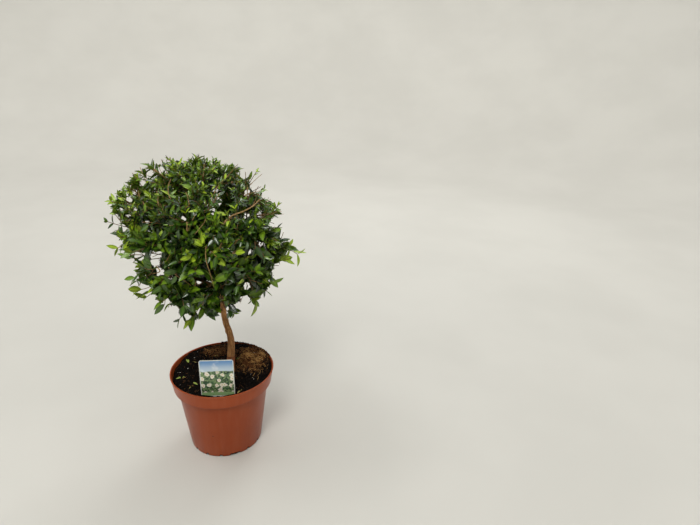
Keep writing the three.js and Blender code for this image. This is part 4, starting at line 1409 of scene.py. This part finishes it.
def hidesSky(root, along, size):
    # Whether a leaf shows inside a gap, or in front of the stem or the pale twig where those show
    over = np.zeros(len(root), bool)
    for share in (0.15, 0.5, 0.85):
        spot = root + along * (size * share)[:, None]
        far = distance(spot) > growth["outerShare"] * crown["radius"]
        over |= inGap(spot, growth["gapGrow"] * size) | (inGap(spot, 0, stemShows) & (spot[:, 1] < 5))
        over |= inGap(spot, growth["twigGapGrow"] * size, twigShows) & far & (spot[:, 1] < 0)
    return over


def joined(groups):  # lists of arrays, each array joined to those in its place in the other lists
    return [np.concatenate(parts) for parts in zip(*groups)]


def beside(heading, degrees):  # a direction square to a heading, turned round it from level
    return turned(unit(np.cross(upward, heading) + 1e-3), heading, np.radians(degrees))


def growLeaders():
    # Each coarse tip runs on, out along its own direction, to a little inside the outline
    curves, keys = limbCurves[limbTip], limbKey[limbTip]
    direction = outward(curves[:, 2])
    away = distance(curves[:, 2])
    reach = np.maximum(outline(direction), away + crown["longTip"])
    inset = growth["fineInset"] + swing(growth["fineInsetSpread"], keys, 71)
    inset = inset * blend(*growth["fineInsetShare"], sizeShare(curves[:, 2]))
    end = crown["centre"] + direction * (reach - inset)[:, None]
    sway = np.stack([chance(keys, 72 + axis) - 0.5 for axis in range(3)], axis=-1) * growth["sway"]
    kept = ~inGap(end, 0.5) | (chance(keys, 75) < 0.2)
    leaders = np.stack([curves[:, 0], curves[:, 1] + sway * 0.5, end + sway * 0.6], axis=1)
    return leaders[kept], keys[kept], limbMass[limbTip][kept]


def growTo(ends, use):
    # Further leaders to given ends, each parting from the coarse tip nearest to its end
    tips = np.flatnonzero(limbTip)
    nearest = tips[np.argmin(np.linalg.norm(ends[:, None] - limbCurves[tips, 2][None], axis=-1), axis=1)]
    share = np.full(len(ends), 0.6)
    start, heading = curvePoint(limbCurves[nearest], share), curveHeading(limbCurves[nearest], share)
    return arc(start, heading, ends), limbKey[nearest] + use + 0.001 * np.arange(len(ends)), limbMass[nearest]


def growFill(ends):
    # A leader for each even direction that lies far from the ends so far, so the ball is full on all sides
    direction = evenDirections(growth["fillTries"])
    nearest = (direction @ outward(ends).T).max(axis=1)
    inset = growth["fineInset"] + swing(growth["fineInsetSpread"], np.arange(len(direction)), 78)
    fill = crown["centre"] + direction * (outline(direction) - inset)[:, None]
    wanted = (nearest < math.cos(math.radians(growth["fillAngle"]))) & ~inGap(fill, 1.0) & (direction[:, 2] > -0.9)
    return growTo(fill[wanted], 0.27)


def growSides(leaders, keys, mass, pairs, keptShare):
    # Opposite pairs of side shoots up each leader, each pair across the last, bent out and a little up, and drawn
    # back inside the outline. The last part is the number of each one's leader.
    made = []
    length = curveLength(leaders)
    run = growth["sideTo"] - growth["sideFrom"]
    for pair in range(pairs):
        share = growth["sideFrom"] + run * (pair + 0.5 * chance(keys, 80 + pair)) / pairs
        start, heading = curvePoint(leaders, share), curveHeading(leaders, share)
        for hand in (0, 1):
            use = 90 + pair * 2 + hand
            high = sizeShare(start)
            turn = 90 * pair + 180 * hand + growth["sideTurn"] * chance(keys, 81)
            side = beside(heading, turn + swing(growth["sideTurnSpread"], keys, use))
            splay = blend(*growth["sideSplay"], high) + swing(growth["sideSplaySpread"], keys, use + 20)
            splay = np.radians(splay)[:, None]
            aim = heading * np.cos(splay) + side * np.sin(splay)
            size = blend(*growth["sideLength"], high) * within(growth["sideSizes"], keys, use + 40)
            up = upward * blend(*growth["sideLift"], high)[:, None]
            bend = start + aim * (size * 0.5)[:, None]
            end = bend + unit(aim + outward(start) * growth["sideOut"] + up) * (size * 0.5)[:, None]
            reach = distance(end)
            most = outline(outward(end)) - blend(*growth["sideInset"], high)
            pull = np.minimum(1, most / reach)
            end = crown["centre"] + (end - crown["centre"]) * pull[:, None]
            kept = (chance(keys, use + 60) < blend(*keptShare, high)) & (pull > growth["leastPull"])
            kept &= length * (1 - share) > 2
            kept &= ~inGap(end) & ~inGap((start + bend) / 2, 0.5) & ~inGap((bend + end) / 2, 0.5)
            curves, newKeys = np.stack([start, bend, end], axis=1), keys * 8 + pair * 2 + hand + 0.37
            made.append([values[kept] for values in (curves, newKeys, mass, np.arange(len(mass)))])
    return joined(made)


def growShoots():
    # Leaders, sprays, fill, side shoots on all three, and side shoots on the limbs and boughs inside. A side
    # shoot's parent is its leader's number, and -1 stands for a limb or for none.
    edge = np.array([onBall(x, y, 1) for x, y in edgeSprays])
    edge = growTo(edge - outward(edge) * growth["edgeInset"], edgeUse)
    face = growTo(np.array([onBall(*spray) for spray in faceSprays]), 0.61)
    leaders = joined([growLeaders(), edge, face])
    leaders = joined([leaders, growFill(leaders[0][:, 2])])
    large = [gap for gap in skyGaps if gap[2] >= growth["largeGap"]]
    spots = [curvePoint(leaders[0], np.full(len(leaders[0]), t)) for t in (0.3, 0.5, 0.7)]
    across = np.any([inGap(spot, 0, large) for spot in spots], axis=0)
    kept = ~across | (chance(leaders[1], 76) < growth["acrossGap"])
    leaders = [part[kept] for part in leaders]
    inside = joined([
        (limbCurves[~limbTip], limbKey[~limbTip] + 0.5, limbMass[~limbTip]),
        (boughs, np.arange(len(masses)) + 0.25, np.arange(len(masses)))])
    for group in (leaders, inside):  # keys that differ from mass to mass
        group[1] = group[1] + 1000 * (group[2] + 1)
    outer = growSides(*leaders, growth["sidePairs"], growth["sideKept"])
    inner = growSides(*inside, growth["innerPairs"], [growth["innerKept"]] * 2)
    inner[3] = np.full_like(inner[3], -1)
    return joined([[*leaders, np.full(len(leaders[0]), -1)], outer, inner]) + [len(leaders[0])]


shootCurves, shootKeys, shootMass, shootParent, leaderCount = growShoots()
isLeader = np.arange(len(shootCurves)) < leaderCount
print("stage: shoots grown,", len(shootCurves))


def atEdge(keys):  # whether a shoot is an edge spray, by the end of its key
    return np.abs(keys % 1 - (edgeUse + 0.03)) < 0.03


def freshness(points, keys):
    # How young and pale a spray is: by chance, more at the top, at the left and at the ball's edge, less low down
    direction = outward(points)
    left = smooth(direction @ bearing(-171, 24), 0.55, 1.0)
    high = smooth(direction[..., 2], 0.1, 0.9)
    low = smooth(-direction[..., 2], 0.0, 0.7)
    byPlace = 0.12 * left + 0.08 * high - 0.03 * low + 0.24 * atEdge(keys)
    return chance(keys, 140) * 0.62 + 0.2 * chance(keys, 141) + byPlace


def growLeaves():
    # Opposite pairs from each shoot's tip back, each pair across the last; the youngest are small and pale. Their
    # upper faces turn to the sky and away from the ball's middle, and roll a little by chance.
    made = []
    length = curveLength(shootCurves)
    tips = shootCurves[:, 2]
    high = sizeShare(tips)
    fresh = freshness(tips, shootKeys)
    cut = chance(shootKeys, 142) < growth["cutEnds"] * (0.35 + high)
    long = distance(tips) > outline(outward(tips)) - 4
    most = growth["pairs"] + growth["morePairs"] * isLeader
    step = blend(*growth["pairStep"], high) * within(growth["pairSteps"], shootKeys, 143)
    for pair in range(growth["pairs"] + growth["morePairs"]):
        share = 1 - (growth["firstPair"] + growth["cutBack"] * cut + pair * step) / length
        young = np.clip(1 - pair / 3, 0, 1)
        for hand in (0, 1):
            use = 150 + pair * 2 + hand
            kept = (share > growth["leafFrom"]) & (pair < most) & (chance(shootKeys, use) > 0.06 + 0.05 * pair)
            keys, curves = shootKeys[kept], shootCurves[kept]
            root, heading = curvePoint(curves, share[kept]), curveHeading(curves, share[kept])
            turn = 90 * pair + 180 * hand + growth["leafTurn"] * chance(keys, 144)
            side = beside(heading, turn + swing(growth["leafTurnSpread"], keys, use + 20))
            splay = growth["leafSplay"] * (1 - 0.35 * young)
            splay = np.radians(splay + swing(growth["leafSplaySpread"], keys, use + 40))[:, None]
            lift = upward * blend(*growth["leafLift"], high[kept])[:, None]
            along = unit(heading * np.cos(splay) + side * np.sin(splay) + lift)
            light = heading * 0.5 + np.array([0, 0, 0.7]) + outward(root) * 0.5
            up = unit(light - along * dot(light, along))
            up = turned(up, along, np.radians(swing(growth["leafRoll"], keys, use + 60)))
            size = blend(*growth["leafLength"], high[kept]) * within(growth["leafSizes"], keys, use + 80)
            size = size * (1 - growth["youngLess"] * young) * within(growth["sprayLeafSizes"], keys, 145)
            size = size * (1 + growth["edgeMore"] * atEdge(keys) * high[kept])
            width = size * blend(*growth["leafWidth"], high[kept]) * within(growth["leafWidths"], keys, use + 100)
            fold = within(growth["leafFold"], keys, use + 120)
            curl = within(growth["leafCurl"], keys, use + 140)
            tone = fresh[kept] + 0.24 * young - 0.07 * pair + 0.2 * (chance(keys, use + 160) - 0.5)
            tip = root + along * size[:, None]
            limit = outline(outward(tip)) + 3
            inside = (distance(tip) < limit) | long[kept]
            inside &= ~hidesSky(root, along, size)
            grown = (root, along, up, size, width, fold, curl, tone, shootMass[kept], np.flatnonzero(kept))
            made.append([values[inside] for values in grown])
    return dict(zip(leafParts + ("tone", "mass", "shoot"), joined(made)))


leafParts = ("root", "along", "up", "length", "width", "fold", "curl")
leaves = growLeaves()
# A shoot that keeps too few leaves isn't grown at all, unless it carries one that does
leafy = np.bincount(leaves["shoot"], minlength=len(shootCurves)) > np.where(isLeader, 2, 1)
leafy[shootParent[leafy & (shootParent >= 0)]] = True
leaves = {name: values[leafy[leaves["shoot"]]] for name, values in leaves.items()}
shootCurves, shootKeys = shootCurves[leafy], shootKeys[leafy]
shootMass, isLeader = shootMass[leafy], isLeader[leafy]
print("stage: leaves grown,", len(leaves["length"]), "on", len(shootCurves), "shoots")


leafCorners = 22


def leafShapes(root, along, up, length, width, fold, curl):
    # A thin closed blade: half width sin(pi·v^0.82)^0.9 at five stations v of its length, edges raised by the
    # fold, and the midrib bent down by curl·v². Top and underside share their edges and part at the midrib.
    v = np.array([0.09, 0.26, 0.47, 0.69, 0.88])
    half = np.sin(np.pi * v ** 0.82) ** 0.9
    across = np.cross(along, up)
    run = length[:, None] * v
    drop = -curl[:, None] * length[:, None] * v ** 2
    mid = root[:, None] + along[:, None] * run[..., None] + up[:, None] * drop[..., None]
    reach = (width[:, None] / 2 * half)[..., None]
    raised = fold[:, None, None] * reach
    aside = across[:, None] * np.sqrt(np.maximum(reach ** 2 - raised ** 2 * 0.4, 0))
    left = mid - aside + up[:, None] * raised
    right = mid + aside + up[:, None] * raised
    under = mid - up[:, None] * (0.035 * width[:, None, None] * half[:, None] + 0.02)
    tip = root + along * length[:, None] + up * (-curl * length)[:, None]
    return np.concatenate([root[:, None], left, mid, right, under, tip[:, None]], axis=1)


def leafFaces():
    # 22 corners: the root, then five each of left edge, midrib, right edge and underside, then the tip. The first
    # half of the quads, and of the triangles, is the upper face.
    left, mid, right, under = (np.arange(1 + 5 * k, 6 + 5 * k) for k in range(4))
    top = [[0, mid[0], left[0]], [0, right[0], mid[0]], [mid[4], 21, left[4]], [right[4], 21, mid[4]]]
    below = [[0, left[0], under[0]], [0, under[0], right[0]], [left[4], 21, under[4]], [under[4], 21, right[4]]]
    quads = [[left[k], mid[k], mid[k + 1], left[k + 1]] for k in range(4)]
    quads += [[mid[k], right[k], right[k + 1], mid[k + 1]] for k in range(4)]
    quads += [[left[k + 1], under[k + 1], under[k], left[k]] for k in range(4)]
    quads += [[under[k + 1], right[k + 1], right[k], under[k]] for k in range(4)]
    return np.array(quads), np.array(top + below)[:, ::-1]


def makeLeaves(name, shape, finishes, upper, under, rib, sharp):
    # Many blades in one mesh, with the numbers of the finishes of each one's upper face and underside
    count = len(shape)
    sides = np.stack([upper, under], axis=1)
    faceSets = [repeated(faces, count, leafCorners) for faces in leafFaces()]
    which = np.concatenate([np.repeat(sides, len(faces) // (2 * count), axis=1).ravel() for faces in faceSets])
    return makePiece(name, shape, faceSets, finishes, which, sharp, {"rib": np.tile(rib, count)})


leafColours = [  # from the oldest to the youngest: upper face, underside
    ((22, 44, 5), (64, 86, 23)),
    ((37, 64, 8), (79, 103, 26)),
    ((60, 92, 12), (98, 122, 32)),
    ((98, 130, 18), (122, 146, 38)),
    ((142, 168, 32), (150, 172, 54)),
]
toneSteps = [0.2, 0.45, 0.7, 0.92]


def leafFinish(name, colour, gloss):  # a paler midrib, a mottled blade, and the waxy coat of an old leaf
    finish = Finish(name, IOR=1.48, Specular_IOR_Level=0.3 + 0.25 * gloss, Coat_Weight=gloss, Coat_Roughness=0.2)
    rib = finish.node("ShaderNodeAttribute", {"attribute_name": "rib"}, output="Fac")
    mottle = finish.patches(5, 3, 0.35, 0.7)
    paler = [min(255, c * 1.3 + 12) for c in colour]
    darker = [c * 0.82 for c in colour]
    base = finish.mix(mottle * 0.6, colour, darker)
    base = finish.mix(finish.ramp(rib, 0.55, 1.0) * 0.5, base, paler)
    rough = 0.48 - 0.22 * gloss + mottle * 0.12
    return finish.wire(Base_Color=base, Roughness=rough, Normal=finish.bump(finish.noise(1.6, 2), 0.12, 0.5))


def barkTwigFinish(name, dark, pale):
    finish = Finish(name)
    tone = finish.patches(1.8, 4, 0.35, 0.7)
    colour = finish.mix(tone, dark, pale)
    return finish.wire(
        Base_Color=colour, Roughness=0.6 + tone * 0.2, Normal=finish.bump(finish.noise(0.7, 3), 0.15))


def addFoliage():
    ages = list(enumerate(leafColours))
    leafMaterials = [leafFinish(f"leafUpper{k}", upper, 0.85 - 0.14 * k) for k, (upper, _) in ages]
    leafMaterials += [leafFinish(f"leafUnder{k}", under, 0.0) for k, (_, under) in ages]
    twigMaterials = [
        barkTwigFinish("oldTwig", (84, 58, 38), (128, 94, 60)),
        barkTwigFinish("tanTwig", (136, 100, 62), (178, 140, 92)),
        barkTwigFinish("greenTwig", (92, 104, 44), (138, 146, 70)),
    ]
    rib = np.zeros(leafCorners)
    rib[6:11] = rib[16:21] = 1
    for index, (name, *_) in enumerate(masses):
        mine = leaves["mass"] == index
        shape = leafShapes(*[leaves[part][mine] for part in leafParts])
        tone = np.digitize(leaves["tone"][mine], toneSteps)
        piece = makeLeaves("leaves_" + name, shape, leafMaterials, tone, tone + len(leafColours), rib, 75)
        settle(piece, "foliage", "foliage_" + name)
        inner = (limbMass == index) & ~limbTip
        leader, side = [(shootMass == index) & kind for kind in (isLeader, ~isLeader)]
        parts = [
            tubes(limbCurves[inner], limbRadius[inner, 0], limbRadius[inner, 1], 4, 6),
            tubes(shootCurves[leader], *growth["leaderRadius"], 6, 5),
            tubes(shootCurves[side], *growth["shootRadius"], 4, 4),
        ]
        kinds = [
            np.zeros(inner.sum(), int),
            (chance(shootKeys[leader], 300) < 0.5).astype(int),
            1 + (freshness(shootCurves[side, 2], shootKeys[side]) > 0.62),
        ]
        points, faceSets, whichParts, start = [], [], [], 0
        for (corners, walls, ends), kind in zip(parts, kinds):
            points.append(corners.reshape(-1, 3))
            for faces in (walls, ends):
                faceSets.append(faces + start)
                whichParts.append(np.repeat(kind, len(faces) // max(len(kind), 1)))
            start += corners.shape[0] * corners.shape[1]
        points, which = np.concatenate(points), np.concatenate(whichParts)
        settle(makePiece("twigs_" + name, points, faceSets, twigMaterials, which), "foliage", "foliage_" + name)


def addBareTwigs():
    # Each twig leaves the nearest limb and follows its pixels along the ball's face, thinner towards its tip
    finish = barkTwigFinish("bareTwig", (132, 100, 58), (186, 152, 96))
    joints = np.concatenate([curvePoint(limbCurves, np.full(len(limbCurves), t)) for t in (0.3, 0.6, 0.9)])
    points, faceSets, count = [], [], 0
    for pixels, share, radius in bareTwigs:
        route = np.array([onBall(x, y, share + 0.04 * k / len(pixels)) for k, (x, y) in enumerate(pixels)])
        start = joints[np.argmin(np.linalg.norm(joints - route[0], axis=1))]
        line, along = stemLine([start, *route], 6)
        thick = radius * blend(1.15, 0.65, along) * (1 + 0.1 * grain(line * 3, 2, 51))
        corners, ends, faces = sweep(line, np.repeat(thick[:, None], 7, 1), 7)
        points += [corners, ends]
        faceSets += [part + count for part in faces]
        count += len(corners) + len(ends)
    settle(makePiece("bareTwigs", np.concatenate(points), faceSets, [finish], sharp=70), "bark")


addFoliage()
addBareTwigs()
print("stage: leaves and twigs made")


def addFallen():
    # Old leaves of the plant, lying on the peat
    heading = np.radians([leaf[4] for leaf in fallenLeaves])
    x, y, length, width = np.array([leaf[:4] for leaf in fallenLeaves], float).T
    along = together(np.cos(heading), np.sin(heading), np.full(len(x), 0.08))
    root = together(x, y, peatTop(x, y) + 0.9) - along * length[:, None] / 2
    up = together(0.25 * np.sin(heading * 3), 0.2 * np.cos(heading * 5), np.ones(len(x)))
    up = unit(up - unit(along) * dot(up, unit(along)))
    shape = leafShapes(root, unit(along), up, length, width, np.full(len(x), 0.35), np.full(len(x), 0.08))
    finishes = [
        leafFinish("fallenGreen", (74, 118, 42), 0.1),
        leafFinish("fallenLime", (150, 166, 74), 0.0),
        leafFinish("fallenOld", (168, 150, 84), 0.0),
    ]
    which = np.array([leaf[5] for leaf in fallenLeaves])
    settle(makeLeaves("fallenLeaves", shape, finishes, which, which, np.zeros(leafCorners), 45), "foliage")


addFallen()

print("stage: finished")
